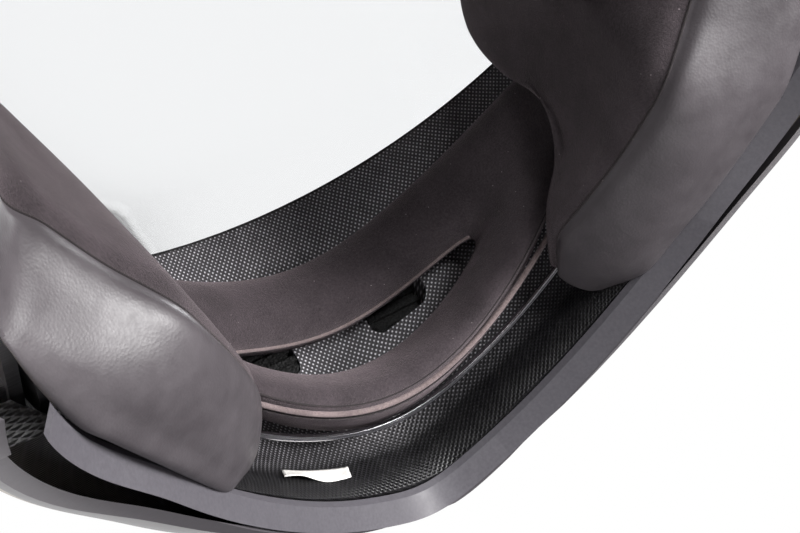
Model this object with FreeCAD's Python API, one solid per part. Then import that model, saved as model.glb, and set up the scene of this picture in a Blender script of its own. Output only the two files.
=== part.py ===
import FreeCAD, Part
import math
import os

from FreeCAD import Vector

# Flip-up motor sport helmet, modelled upright as it stands on its rim.
# Millimetres. +Z up, the chin faces -Y, the wearer's right hand is at -X.
# Every hull is a stack of level outlines round one upright line at Y = CENTRE_Y.

# ---- Whole helmet -----------------------------------------------------------
CENTRE_Y = 15.0          # the line that all outlines are drawn round
HALF_WIDTH = 134.0       # half the greatest width of the outer hull
FRONT_REACH = 150.0      # forehead reach in front of the centre line
BACK_REACH = 150.0       # reach behind the centre line
WIDEST_Z = 128.0         # level of the greatest width
CROWN_RISE = 130.0       # from the widest level up to the crown

# ---- Rim and chin -----------------------------------------------------------
RIM_HALF_WIDTH = HALF_WIDTH - 25.0  # half width of the rim outline
RIM_FRONT_REACH = 157.6  # chin reach at the rim
RIM_BACK_REACH = 108.0   # nape reach at the rim
CHIN_BULGE = 16.0        # how far the chin swells in front of its rim
CHIN_BULGE_Z = 42.0      # level of the furthest point of the chin
RIM_FLARE = 16.0         # how far the sides flare out just above the rim
RIM_SIDE_RISE = 4.8      # rise of the chin's rim at 100 mm from the middle
NAPE_RIM_Z = 28.0        # the main shell's rim at the nape; the neck roll hangs below it
NOSE_POWER = 1.47        # outline power at the rim, 2 is an ellipse
CHIN_END_Y = -16.4       # where the chin bar's rim ends
LIP_Z = 101.2            # eye port's lower lip in the middle
LIP_SIDE_DROP = 4.8      # fall of the lip at 100 mm from the middle
BROW_Z = 213.0           # eye port's upper edge in the middle
PORT_BACK_Y = -36.0      # rear end of the eye port
LIP_BACK_Y = -56.0       # rear end of the lip, where the arms begin
GASKET_HEIGHT = 2.5      # rubber edge on the lip

# ---- Walls and gaps ---------------------------------------------------------
SHELL_WALL = 4.0         # laminate of the outer shell and chin bar
LINER_WALL = 26.0        # crown liner of expanded polystyrene
COMFORT_WALL = 11.0      # crown padding
SEAT_GAP = 0.25          # between pieces that are glued or clipped together
MOVE_GAP = 1.2           # between the chin bar and the main shell
PAD_GAP = 2.0            # between the chin bar's inside and the cheek pads

# ---- Chin bar's inside ------------------------------------------------------
LIP_HALF_WIDTH = HALF_WIDTH - 7.0
LIP_REACH = RIM_FRONT_REACH - 24.7  # inner face at the lip, in front of the centre line
VENT_Z = 63.5
WALL_REACH_AT_VENT = RIM_FRONT_REACH - 10.1
TRAY_Z = 26.0            # deepest level of the tray behind the rim
TRAY_REACH = RIM_FRONT_REACH - 0.6
RIDGE_Z = 11.0           # rounded edge between the tray and the rim trim
RIDGE_REACH = RIM_FRONT_REACH - 5.6

# ---- Rim trim of the chin bar -----------------------------------------------
TRIM_SET_IN = 4.0        # inner edge lies this far inside the outer edge
TRIM_SET_UP = 6.06       # and this far above it
TRIM_THICK = 2.0

# ---- Padded ring in the chin bar --------------------------------------------
RING_REACH = RIM_FRONT_REACH - 19.1  # back of the ring in front of the centre line
RING_HALF_WIDTH = RIM_HALF_WIDTH - 7.5
RING_THICK = 14.0
RING_LOW_Z = 24.4
RING_HIGH_Z = 81.0
RING_END_X = 84.0
RING_END_Y = -34.0       # the ring's ends, behind the cheek pads
RING_SIDE_RISE = 16.9    # rise of the ring's lower edge at 100 mm
RING_HOLE_LOW_Z = 41.5
RING_HOLE_HIGH_Z = 55.5
RING_HOLE_HALF = 42.0
RING_HOLE_RISE = 10.0    # rise of the hole's middle line at 100 mm
WIRE_R = 1.1
VENT_X = 22.1
VENT_HALF_WIDTH = 9.5
VENT_HALF_HEIGHT = 9.0
FILTER_RIBS = 5

# ---- Pivots -----------------------------------------------------------------
PIVOT_Y = 15.0
PIVOT_Z = 165.0
POCKET_R = 62.0          # round pocket in the main shell round each pivot
POCKET_X = HALF_WIDTH - 16.0  # the pocket's floor
POCKET_WALL = 4.5
ARM_GAP = 0.4            # between pocket floor and chin bar arm
ARM_FACE_X = HALF_WIDTH - 10.0  # outer flat of the arm round the pivot
ARM_FACE_R = 48.0
ARM_END_R = 26.0
SCREW_R = 5.0
SCREW_HEAD_R = 9.0
SCREW_CLEARANCE = 0.05   # radial, of a turning fit on the screw
PLATE_R = 17.0
PLATE_THICK = 2.0

# ---- Visor ------------------------------------------------------------------
VISOR_GAP = 1.6          # between hull and visor
VISOR_WALL = 2.4
VISOR_LOW_Z = 94.0
VISOR_HIGH_Z = 222.0
VISOR_EYE_R = 22.0
COVER_R = 24.0
COVER_THICK = 3.2

# ---- Cheek pads -------------------------------------------------------------
PAD_TOP_Z = 112.0
PAD_BACK_Y = 44.0
PAD_TIP_Y = -88.0
PAD_OUTER_X = RIM_HALF_WIDTH - 10.2  # outer face of a pad, on its carrier plate
PAD_TIP_X = PAD_OUTER_X - 52.8
PAD_EDGE_Z = 27.0        # inner lower edge of a pad at 50 mm from the middle
PAD_EDGE_SLOPE = 0.32    # fall of a pad's underside towards the rim
PAD_STEP_Z = 25.0        # above this a pad stays behind the padded ring
REAR_CUT_X = PAD_OUTER_X - 31.8  # a point on the climbing rear underside
REAR_CUT_Y = -20.0
REAR_CUT_Z = 22.0
REAR_FLAT_Y = 8.0        # behind this the underside stays level along the pad
CARRIER_THICK = 2.0
BLOCK_FRONT_Y = 8.0      # front of the hard block behind a carrier plate
BLOCK_BACK_Y = 68.0
BLOCK_LOW_Z = 34.0
CARRIER_LOW_Z = 22.0     # lower edge of a carrier plate at its front
PAD_SKIRT_Z = 15.5       # below this a pad reaches out past its carrier to the wall
BLOCK_HIGH_Z = 97.0

# ---- Neck roll ------------------------------------------------------------------
NECK_FRONT_Y = 97.0
NECK_TOP_Z = 56.0
NECK_WALL = 20.0

# ---- Latch: a pin in the shell, a forked catch on the chin bar ---------------
LATCH_Y = -4.0
LATCH_Z = 34.0
LATCH_PIN_R = 3.0
LATCH_ROOT_X = HALF_WIDTH - 7.5  # end of the pin, a little way into the shell's wall
LATCH_SPARE = 0.3        # round the pin in the fork
CATCH_X = RIM_HALF_WIDTH - 5.8  # inner face of the catch plate
CATCH_WALL = 3.0

# ---- Release button in the chin's front --------------------------------------
BUTTON_HALF_WIDTH = 13.0
BUTTON_LOW_Z = 9.0
BUTTON_HIGH_Z = 18.0
BUTTON_LENGTH = 6.5
BUTTON_PROUD = 3.6
BUTTON_GAP = 0.4
BUTTON_TRAVEL = 3.0

# ---- Vents --------------------------------------------------------------------
SLOT_HALF_WIDTH = 15.0   # air slot in the chin's front
SLOT_LOW_Z = 53.0
SLOT_HEIGHT = 6.0
SLIDER_MARGIN = 2.5      # by which the slider covers the slot
SLIDER_THICK = 2.4
GRIP_RISE = 4.0          # of the grip on the slider, brings the overall box level with Y = 0
CHIN_SLIDER_TRAVEL = 8.0
TOP_VENT_Y = -22.0
TOP_VENT_HALF_WIDTH = 27.0
TOP_VENT_LENGTH = 66.0
TOP_VENT_RISE = 7.0      # housing above the crown
TOP_SLIDER_WIDTH = 18.0
TOP_SLIDER_LENGTH = 12.0
TOP_SLIDER_TRAVEL = 12.0
EXHAUST_Z = 182.0
EXHAUST_HALF_WIDTH = 36.0
EXHAUST_HEIGHT = 34.0
EXHAUST_RISE = 6.0

# ---- Chin strap -----------------------------------------------------------------
STRAP_Y = 57.0           # middle of the webbing
STRAP_WIDTH = 20.0
STRAP_THICK = 2.4
STRAP_ANCHOR_Z = 70.0
STRAP_LOW_Z = 15.0
STRAP_SWING = 35.0       # degrees that the fastened strap is pushed back
RIVET_R = 3.0
BUCKLE_HALF = 17.0
STRIP_TAIL = 16.0        # of the toothed strip outside the buckle

SIDES = {"left": 1, "right": -1}
STEPS = 36               # points round one outline
FAR = 400.0


def level_radius(angle, half, reach, power):
    """Distance from the centre line, at an angle from straight ahead."""
    turn = min(1.0, max(0.0, (math.degrees(angle) - 45.0) / 45.0))
    local = power + (2.0 - power) * turn * turn * (3.0 - 2.0 * turn)
    across = abs(math.sin(angle)) / half
    along = abs(math.cos(angle)) / reach
    return (across ** local + along ** local) ** (-1.0 / local)


def level_point(angle, level):
    """A point of an outline; level is (z, half width, front, back, power)."""
    z, half, front, back, power = level
    folded = angle if angle <= math.pi else 2.0 * math.pi - angle
    if folded <= math.pi / 2.0:
        radius = level_radius(folded, half, front, power)
    else:
        radius = level_radius(math.pi - folded, half, back, 2.0)
    x = radius * math.sin(angle)
    return Vector(x, CENTRE_Y - radius * math.cos(angle), z)


def level_wire(level):
    points = [level_point(2.0 * math.pi * i / STEPS, level) for i in range(STEPS)]
    curve = Part.BSplineCurve()
    curve.interpolate(Points=points, PeriodicFlag=True,
                      Parameters=[float(i) for i in range(STEPS + 1)])
    return Part.Wire([curve.toShape()])


def slopes(places, values):
    """Tangents that keep a curve through the values free of overshoot."""
    secants = [(values[i + 1] - values[i]) / (places[i + 1] - places[i])
               for i in range(len(places) - 1)]
    found = [secants[0]]
    for before, after in zip(secants, secants[1:]):
        if before * after <= 0.0:
            found.append(0.0)
        else:
            found.append(2.0 * before * after / (before + after))
    return found + [secants[-1]]


def even_levels(rows, count):
    """Rows of outline sizes, read off at evenly spaced levels."""
    places = [row[0] for row in rows]
    tangents = [slopes(places, [row[i] for row in rows]) for i in range(1, 5)]
    levels = []
    for step in range(count + 1):
        z = places[0] + (places[-1] - places[0]) * step / count
        i = max(j for j in range(len(places) - 1) if places[j] <= z)
        width = places[i + 1] - places[i]
        t = (z - places[i]) / width
        values = []
        for column in range(4):
            low = rows[i][column + 1]
            high = rows[i + 1][column + 1]
            first = tangents[column][i] * width
            second = tangents[column][i + 1] * width
            values.append((2 * t ** 3 - 3 * t ** 2 + 1) * low + (t ** 3 - 2 * t ** 2 + t) * first
                          + (3 * t ** 2 - 2 * t ** 3) * high + (t ** 3 - t ** 2) * second)
        levels.append(tuple([z] + values))
    return levels


def stack(levels, tip=None):
    """Closed solid through level outlines, with an optional top point."""
    sections = [level_wire(level) for level in levels]
    if tip is not None:
        sections.append(Part.Vertex(tip))
    return Part.makeLoft(sections, True, False)


def hull_levels(inset):
    """Outlines of the outer hull, moved inwards by inset."""
    chin = RIM_FRONT_REACH
    rows = [
        (-8.0, RIM_HALF_WIDTH - 4.5, chin - 4.0, RIM_BACK_REACH - 5.0, NOSE_POWER),
        (0.0, RIM_HALF_WIDTH + 3.0, chin, RIM_BACK_REACH, NOSE_POWER),
        (0.24 * CHIN_BULGE_Z, RIM_HALF_WIDTH + RIM_FLARE, chin + 0.37 * CHIN_BULGE,
         RIM_BACK_REACH + 6.0, 1.58),
        (0.48 * CHIN_BULGE_Z, RIM_HALF_WIDTH + RIM_FLARE + 2.5, chin + 0.69 * CHIN_BULGE,
         RIM_BACK_REACH + 12.0, 1.58),
        (CHIN_BULGE_Z, HALF_WIDTH - 4.5, chin + CHIN_BULGE, BACK_REACH - 17.0, 1.62),
        (0.65 * LIP_Z, HALF_WIDTH - 2.5, chin + 0.70 * CHIN_BULGE, BACK_REACH - 7.0, 1.72),
        (LIP_Z - 4.0, HALF_WIDTH - 1.0, FRONT_REACH + 2.0, BACK_REACH - 1.0, 1.95),
        (WIDEST_Z, HALF_WIDTH, FRONT_REACH, BACK_REACH, 2.0),
    ]
    moved = even_levels([(z, half - inset, front - inset, back - inset, power)
                         for z, half, front, back, power in rows], 20)
    rise = CROWN_RISE - inset
    for degrees in (7, 15, 24, 34, 44, 54, 64, 73, 80, 85):
        share = math.cos(math.radians(degrees))
        moved.append((WIDEST_Z + rise * math.sin(math.radians(degrees)),
                      (HALF_WIDTH - inset) * share, (FRONT_REACH - inset) * share,
                      (BACK_REACH - inset) * share, 2.0))
    return moved, Vector(0, CENTRE_Y, WIDEST_Z + rise)


def hull(inset):
    levels, crown = hull_levels(inset)
    return stack(levels, crown)


def chin_wall(inset):
    """The hollow inside the chin bar, made smaller all round by inset."""
    rows = [
        (-8.0, RIM_HALF_WIDTH - 7.0, RIM_FRONT_REACH - 8.0, 90.0, NOSE_POWER),
        (TRIM_SET_UP, RIM_HALF_WIDTH - 3.0, RIM_FRONT_REACH - TRIM_SET_IN, 96.0, NOSE_POWER),
        (RIDGE_Z, RIM_HALF_WIDTH - 3.0, RIDGE_REACH, 98.0, NOSE_POWER),
        (TRAY_Z, RIM_HALF_WIDTH + 5.0, TRAY_REACH, 104.0, 1.50),
        (0.6 * VENT_Z, LIP_HALF_WIDTH - 9.0, TRAY_REACH - 1.5, 110.0, 1.56),
        (VENT_Z, LIP_HALF_WIDTH - 4.0, WALL_REACH_AT_VENT, 116.0, 1.72),
        (LIP_Z, LIP_HALF_WIDTH, LIP_REACH, 120.0, 2.0),
        (LIP_Z + 24.0, LIP_HALF_WIDTH + 1.0, LIP_REACH - 2.0, 120.0, 2.0),
    ]
    return stack(even_levels([(z, half - inset, front - inset, back, power)
                              for z, half, front, back, power in rows], 22))


def ring_wall(inset):
    """The surface that the padded ring's back follows, moved in by inset."""
    rows = [
        (5.0, RING_HALF_WIDTH - 1.0, RING_REACH - 1.0, 90.0, 1.62),
        (RING_LOW_Z, RING_HALF_WIDTH, RING_REACH, 92.0, 1.62),
        (RING_HOLE_LOW_Z, RING_HALF_WIDTH + 5.0, RING_REACH + 1.0, 94.0, 1.62),
        (RING_HOLE_HIGH_Z, RING_HALF_WIDTH + 10.0, RING_REACH + 0.5, 96.0, 1.66),
        (RING_HIGH_Z - 4.0, RING_HALF_WIDTH + 15.5, RING_REACH - 0.5, 98.0, 1.75),
        (RING_HIGH_Z + 14.0, RING_HALF_WIDTH + 18.0, RING_REACH - 4.0, 98.0, 1.85),
    ]
    return stack(even_levels([(z, half - inset, front - inset, back, power)
                              for z, half, front, back, power in rows], 10))


def face_from(points):
    return Part.Face(Part.makePolygon(points + points[:1]))


def side_prism(outline, low_x=-FAR, high_x=FAR):
    """Outline in (y, z) run along X."""
    face = face_from([Vector(low_x, y, z) for y, z in outline])
    return face.extrude(Vector(high_x - low_x, 0, 0))


def front_prism(outline, low_y=-FAR, high_y=FAR):
    """Outline in (x, z) run along Y."""
    face = face_from([Vector(x, low_y, z) for x, z in outline])
    return face.extrude(Vector(0, high_y - low_y, 0))


def disc(radius, x_from, x_to, y=PIVOT_Y, z=PIVOT_Z):
    """Round plate across X, between two X values."""
    low = min(x_from, x_to)
    return Part.makeCylinder(radius, abs(x_to - x_from), Vector(low, y, z), Vector(1, 0, 0))


def block(low, high):
    size = [b - a for a, b in zip(low, high)]
    return Part.makeBox(size[0], size[1], size[2], Vector(*low))


def rounded_block(low, high, radius):
    body = block(low, high)
    return body.makeFillet(radius, body.Edges)


def mirror_x(shape):
    return shape.mirror(Vector(0, 0, 0), Vector(1, 0, 0))


def on_side(shape, side):
    """A shape drawn for the left, +X, or its mirror image."""
    return shape if side > 0 else mirror_x(shape)


def save(name, shape):
    solids = [solid for solid in shape.Solids if solid.Volume > 1.0]
    kept = solids[0] if len(solids) == 1 else Part.makeCompound(solids)
    for solid in solids:
        if not solid.isValid():
            print("invalid solid in", name)
    kept.exportStep("parts/" + name + ".step")
    print("%-24s %d solid(s) %9.0f mm3" % (name, len(solids), kept.Volume))


# ---- Outlines seen from the side --------------------------------------------
def split_line(shift):
    """Joint between chin bar and main shell, from the rim up to the pivot."""
    return [(CHIN_END_Y + shift, -20.0), (CHIN_END_Y + shift, 5.0),
            (CHIN_END_Y + 4.0 + shift, 60.0), (CHIN_END_Y + 8.0 + shift, 104.0)]


def arm_back():
    """Rounded end of the chin bar's arm, behind and above the pivot."""
    points = []
    for degrees in range(-30, 136, 15):
        turn = math.radians(degrees)
        points.append((PIVOT_Y + ARM_END_R * math.cos(turn),
                       PIVOT_Z + ARM_END_R * math.sin(turn)))
    return points


def chin_outline():
    front = -FAR
    lower = [(front, -20.0)] + split_line(0.0)
    lower.append((CHIN_END_Y + 8.0, PIVOT_Z - POCKET_R + 5.0))
    upper = [(PIVOT_Y - 34.0, PIVOT_Z - 1.0), (PORT_BACK_Y - 4.0, PIVOT_Z - 30.0),
             (PORT_BACK_Y - 10.0, LIP_Z + 12.0), (PORT_BACK_Y - 24.0, LIP_Z + 0.5),
             (front, LIP_Z + 0.5)]
    return lower + arm_back() + upper


def main_outline():
    lower = split_line(MOVE_GAP)
    return lower + [
        (PORT_BACK_Y, LIP_Z + 3.0), (PORT_BACK_Y, BROW_Z - 28.0),
        (PORT_BACK_Y - 10.0, BROW_Z - 10.0), (PORT_BACK_Y - 34.0, BROW_Z - 2.0),
        (-FAR, BROW_Z + 2.0), (-FAR, FAR), (FAR, FAR), (FAR, -20.0)]


def floor_cut():
    """Everything below the main shell's rim."""
    return side_prism([(-FAR, -60.0)] + side_rim(0.0) + [(FAR, -60.0)])


def side_rim(lift):
    """Main shell's rim in (y, z); it rises from the joint to the nape."""
    rise = NAPE_RIM_Z - 4.0
    return [(-FAR, 5.6 + lift), (CHIN_END_Y, 5.6 + lift), (0.0, 4.0 + lift),
            (12.0, 4.0 + 0.2 * rise + lift), (40.0, 4.0 + 0.63 * rise + lift),
            (70.0, 4.0 + 0.9 * rise + lift), (110.0, NAPE_RIM_Z + lift), (FAR, NAPE_RIM_Z + lift)]


def chin_floor_cut():
    """Everything below the chin bar's rim, which rises to the sides."""
    points = [(x, RIM_SIDE_RISE * (x / 100.0) ** 2) for x in range(-160, 161, 10)]
    return front_prism([(-160.0, -60.0)] + points + [(160.0, -60.0)], -FAR, FAR)


def lip_line(shift):
    """Crest of the eye port's lower lip as (x, z), moved by shift."""
    return [(x, LIP_Z + shift - LIP_SIDE_DROP * (x / 100.0) ** 2) for x in range(-130, 131, 10)]


def lip_cut(shift):
    """Everything above the eye port's lower lip, in front of the arms."""
    return front_prism(lip_line(shift) + [(130.0, FAR), (-130.0, FAR)], -FAR, LIP_BACK_Y)


def sweep_pocket():
    """Room at the temples for the chin bar's arms as they swing up."""
    back = CHIN_END_Y + 8.0 + MOVE_GAP
    outline = [(-FAR, LIP_Z - 6.0), (back, LIP_Z - 6.0), (back, LIP_Z + 20.0),
               (PORT_BACK_Y + 8.0, BROW_Z - 12.0), (-FAR, BROW_Z - 12.0)]
    left = side_prism(outline, POCKET_X, FAR)
    return left.fuse(mirror_x(left))


# ---- Main shell --------------------------------------------------------------
def pockets(radius, floor_x):
    """The two round pockets round the pivots, from floor_x outwards."""
    return disc(radius, floor_x, FAR).fuse(disc(radius, -floor_x, -FAR))


def outer_shell(outer, inner):
    main = side_prism(main_outline())
    skin = outer.cut(inner).cut(pockets(POCKET_R, POCKET_X))
    room = sweep_pocket()
    cup_x = POCKET_X - POCKET_WALL
    cups = disc(POCKET_R + 4.0, cup_x, FAR).fuse(disc(POCKET_R + 4.0, -cup_x, -FAR))
    cups = cups.cut(pockets(POCKET_R, POCKET_X)).common(outer)
    shell = skin.fuse(cups).common(main).cut(room).cut(floor_cut())
    for side in (1, -1):
        shell = shell.cut(disc(SCREW_R, side * 60.0, side * 140.0))
        shell = shell.cut(latch_pin(side))
        shell = shell.cut(strap_rivet(side))
    return shell


def crown_region(low_z, brow_z):
    return side_prism([(-20.0, low_z), (-20.0, brow_z - 40.0), (-50.0, brow_z - 8.0),
                       (-FAR, brow_z), (-FAR, FAR), (FAR, FAR), (FAR, 58.0),
                       (90.0, 58.0), (70.0, low_z)])


def crown_liner():
    first = SHELL_WALL + SEAT_GAP
    body = hull(first).cut(hull(first + LINER_WALL))
    body = body.common(crown_region(112.0, BROW_Z + 3.0))
    return clear_of_cups(body, SEAT_GAP)


def crown_padding():
    first = SHELL_WALL + LINER_WALL + 2.0 * SEAT_GAP
    body = hull(first).cut(hull(first + COMFORT_WALL))
    return body.common(crown_region(126.0, BROW_Z + 8.0))


def neck_region():
    front = NECK_FRONT_Y
    return side_prism([(front, 0.0), (FAR, 0.0), (FAR, NECK_TOP_Z), (front, NECK_TOP_Z)])


def neck_roll():
    """Soft roll at the nape; the helmet's back stands on its flat underside."""
    first = SHELL_WALL + SEAT_GAP + 0.6
    return hull(first).cut(hull(first + NECK_WALL)).common(neck_region())


# ---- Cheeks -------------------------------------------------------------------
def clear_of_cups(body, spare):
    """Cuts the inward bulges of the two pivot pockets out of a body."""
    cup_x = POCKET_X - POCKET_WALL - spare
    cup_r = POCKET_R + 4.0 + spare
    body = body.cut(disc(cup_r, cup_x, FAR)).cut(disc(cup_r, -cup_x, -FAR))
    for side in (1, -1):
        plate_x = side * (cup_x - PLATE_THICK)
        body = body.cut(disc(PLATE_R + spare, plate_x - side * 1.0, plate_x + side * 5.0))
    return body


def cheek_hard_block(side):
    """Polystyrene block between the shell's side and the pad's carrier."""
    low_x = PAD_OUTER_X + CARRIER_THICK + 2.0 * SEAT_GAP
    zone = block((low_x, BLOCK_FRONT_Y, BLOCK_LOW_Z), (FAR, BLOCK_BACK_Y, BLOCK_HIGH_Z))
    body = on_side(hull(SHELL_WALL + SEAT_GAP).common(zone), side)
    return body.cut(strap_rivet(side))


def pad_carrier(side, wall):
    """Stiff plate on the pad's outer face, clipped to the hard block."""
    low_x = PAD_OUTER_X + SEAT_GAP
    outline = [(-46.0, 26.0), (-34.0, 62.0), (-30.0, BLOCK_HIGH_Z), (PAD_BACK_Y, BLOCK_HIGH_Z),
               (PAD_BACK_Y, BLOCK_LOW_Z + 12.0), (BLOCK_FRONT_Y, BLOCK_LOW_Z + 3.0),
               (-30.0, CARRIER_LOW_Z)]
    return on_side(side_prism(outline, low_x, low_x + CARRIER_THICK).common(wall), side)


def cheek_inner_line():
    """Inner face of the left cheek pad in plan, as (x, y)."""
    return [(PAD_TIP_X, PAD_TIP_Y), (PAD_OUTER_X - 45.0, -58.0), (PAD_OUTER_X - 30.0, -30.0),
            (PAD_OUTER_X - 18.0, -8.0), (PAD_OUTER_X - 12.0, 22.0),
            (PAD_OUTER_X - 12.0, PAD_BACK_Y)]


def pad_face():
    """Left pad's side of its inner face, as a solid that goes outwards."""
    line = [Vector(x, y, 0.0) for x, y in cheek_inner_line()]
    curve = Part.BSplineCurve()
    curve.interpolate(line)
    rest = Part.makePolygon([line[-1], Vector(FAR, PAD_BACK_Y, 0.0),
                             Vector(FAR, PAD_TIP_Y - 60.0, 0.0),
                             Vector(PAD_TIP_X + 10.0, PAD_TIP_Y - 60.0, 0.0), line[0]])
    wire = Part.Wire([curve.toShape()] + rest.Edges)
    return Part.Face(wire).extrude(Vector(0, 0, PAD_TOP_Z))


def pad_side_outline():
    return [(PAD_TIP_Y - 8.0, 0.0), (PAD_TIP_Y - 8.0, PAD_EDGE_Z - 2.0),
            (PAD_TIP_Y + 2.0, PAD_EDGE_Z + 3.0), (-72.0, 48.0), (-60.0, 66.0),
            (-55.0, 78.0), (-50.0, 98.0), (-42.0, PAD_TOP_Z), (PAD_BACK_Y - 14.0, PAD_TOP_Z),
            (PAD_BACK_Y, 92.0), (PAD_BACK_Y, 0.0)]


def pad_underside_cut():
    """Space below the sloping underside of the left pad."""
    low_x = 30.0
    high_x = 130.0
    return front_prism([
        (low_x, -60.0), (low_x, PAD_EDGE_Z + PAD_EDGE_SLOPE * (50.0 - low_x)),
        (high_x, PAD_EDGE_Z + PAD_EDGE_SLOPE * (50.0 - high_x)), (high_x, -60.0)])


def pad_rear_cut():
    """Space below the left pad's rear half, where its underside climbs inwards."""
    def level(x, y):
        return REAR_CUT_Z - 0.624 * (x - REAR_CUT_X) + 1.466 * (y - REAR_CUT_Y)

    front = -60.0
    corners = [(30.0, front), (120.0, front), (120.0, REAR_FLAT_Y), (30.0, REAR_FLAT_Y)]
    slope = face_from([Vector(x, y, level(x, y)) for x, y in corners])
    rear = front_prism([(30.0, -60.0), (30.0, level(30.0, REAR_FLAT_Y)),
                        (120.0, level(120.0, REAR_FLAT_Y)), (120.0, -60.0)],
                       REAR_FLAT_Y, PAD_BACK_Y + 5.0)
    return slope.extrude(Vector(0, 0, -FAR)).fuse(rear)


def cheek_pad(side, wall, ring_front):
    body = pad_face().common(side_prism(pad_side_outline(), 20.0, 200.0))
    body = body.cut(pad_underside_cut()).cut(pad_rear_cut()).common(wall)
    above = block((0.0, -200.0, PAD_STEP_Z), (200.0, -30.0, 95.0))
    body = body.cut(above.cut(ring_front))
    body = body.cut(block((PAD_OUTER_X, -FAR, PAD_SKIRT_Z), (FAR, FAR, FAR)))
    return on_side(body, side)


# ---- Chin bar -----------------------------------------------------------------
def chin_bar_shell(outer, inner):
    region = side_prism(chin_outline())
    skin = outer.cut(inner).cut(disc(POCKET_R - 1.0, -FAR, FAR))
    arms = disc(POCKET_R - 1.0, -FAR, FAR).common(outer)
    arms = arms.cut(block((-POCKET_X - ARM_GAP, -FAR, -FAR), (POCKET_X + ARM_GAP, FAR, FAR)))
    arms = arms.cut(pockets(ARM_FACE_R, ARM_FACE_X))
    body = skin.fuse(arms).common(region)
    body = body.cut(chin_floor_cut()).cut(trim_bed()).cut(lip_cut(-GASKET_HEIGHT))
    for side in (1, -1):
        body = body.cut(disc(SCREW_R + SCREW_CLEARANCE, side * 100.0, side * 140.0))
    body = body.cut(button_shape(BUTTON_GAP, BUTTON_TRAVEL))
    return body.cut(chin_air_slot())


def chin_air_slot():
    """Air slot through the chin's front, behind the slider."""
    return block((-SLOT_HALF_WIDTH, -FAR, SLOT_LOW_Z),
                 (SLOT_HALF_WIDTH, CENTRE_Y - LIP_REACH, SLOT_LOW_Z + SLOT_HEIGHT))


def vent_hole(side, spare):
    """Round-cornered hole through the chin liner that opens inside the ring."""
    x = side * VENT_X
    half = VENT_HALF_WIDTH + spare
    tall = VENT_HALF_HEIGHT + spare
    hole = block((x - half, -FAR, VENT_Z - tall), (x + half, -90.0, VENT_Z + tall))
    upright = [edge for edge in hole.Edges if abs(edge.tangentAt(edge.FirstParameter).y) > 0.9]
    return hole.makeFillet(4.0, upright)


def chin_bar_liner(inner_side, wall):
    body = inner_side.cut(wall)
    region = side_prism([(-FAR, 7.0), (CHIN_END_Y - 12.0, 7.0), (CHIN_END_Y - 8.0, 60.0),
                         (CHIN_END_Y - 8.0, 84.0), (CHIN_END_Y - 40.0, LIP_Z + 1.0),
                         (-FAR, LIP_Z + 1.0)])
    body = body.common(region)
    rim_rise = [(x, TRIM_SET_UP + TRIM_THICK + 0.4 + RIM_SIDE_RISE * (x / 100.0) ** 2)
                for x in range(-160, 161, 10)]
    body = body.cut(front_prism([(-160.0, -60.0)] + rim_rise + [(160.0, -60.0)]))
    body = body.cut(front_prism(lip_line(-GASKET_HEIGHT) + [(130.0, FAR), (-130.0, FAR)]))
    body = body.cut(vent_hole(1, 0.0)).cut(vent_hole(-1, 0.0))
    body = body.cut(disc(POCKET_R + 1.0, -FAR, FAR))
    body = body.cut(button_shape(BUTTON_GAP, BUTTON_TRAVEL))
    for side in (1, -1):
        body = body.cut(catch_room(side))
    return max(body.Solids, key=lambda solid: solid.Volume)


def rim_curve(set_in, z_shift, end_y):
    """Curve along the chin's rim outline, moved inwards by set_in, back to end_y."""
    level = (0.0, RIM_HALF_WIDTH - set_in, RIM_FRONT_REACH - set_in, RIM_BACK_REACH, NOSE_POWER)
    last = 90.0
    while level_point(math.radians(last), level).y > end_y:
        last -= 0.1
    points = []
    count = 24
    for i in range(count + 1):
        angle = math.radians(last) * (2.0 * i / count - 1.0)
        flat = level_point(abs(angle), level)
        x = math.copysign(flat.x, angle)
        rise = RIM_SIDE_RISE * (x / 100.0) ** 2
        points.append(Vector(x, flat.y, z_shift + rise))
    curve = Part.BSplineCurve()
    curve.interpolate(Points=points, Parameters=[float(i) for i in range(count + 1)])
    return curve


def bar_between(curves):
    """Solid bar whose corners run along the given curves, in order round it."""
    faces = []
    for i, curve in enumerate(curves):
        following = curves[(i + 1) % len(curves)]
        faces.append(Part.makeRuledSurface(curve.toShape(), following.toShape()))
    for place in (0, -1):
        corners = [curve.value(curve.FirstParameter if place == 0 else curve.LastParameter)
                   for curve in curves]
        faces.append(Part.makeFilledFace(Part.makePolygon(corners + corners[:1]).Edges))
    shell = Part.makeShell(faces)
    shell.sewShape()
    solid = Part.makeSolid(shell)
    if solid.Volume < 0:
        solid.reverse()
    return solid


def chin_rim_trim():
    """Flat band that closes the chin bar's rim, sloping up to its inner edge."""
    return bar_between([
        rim_curve(0.0, 0.0, CHIN_END_Y),
        rim_curve(TRIM_SET_IN, TRIM_SET_UP, CHIN_END_Y),
        rim_curve(TRIM_SET_IN, TRIM_SET_UP + TRIM_THICK, CHIN_END_Y),
        rim_curve(0.0, TRIM_THICK, CHIN_END_Y),
    ])


def trim_bed():
    """Space under the chin bar's rim that the trim is glued into."""
    slope = TRIM_SET_UP / TRIM_SET_IN
    top = TRIM_THICK + SEAT_GAP
    end_y = CHIN_END_Y + 6.0
    out = 3.5
    return bar_between([
        rim_curve(-out, -15.0, end_y),
        rim_curve(TRIM_SET_IN + 0.6, -15.0, end_y),
        rim_curve(TRIM_SET_IN + 0.6, top + slope * (TRIM_SET_IN + 0.6), end_y),
        rim_curve(-out, top - slope * out, end_y),
    ])


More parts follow.
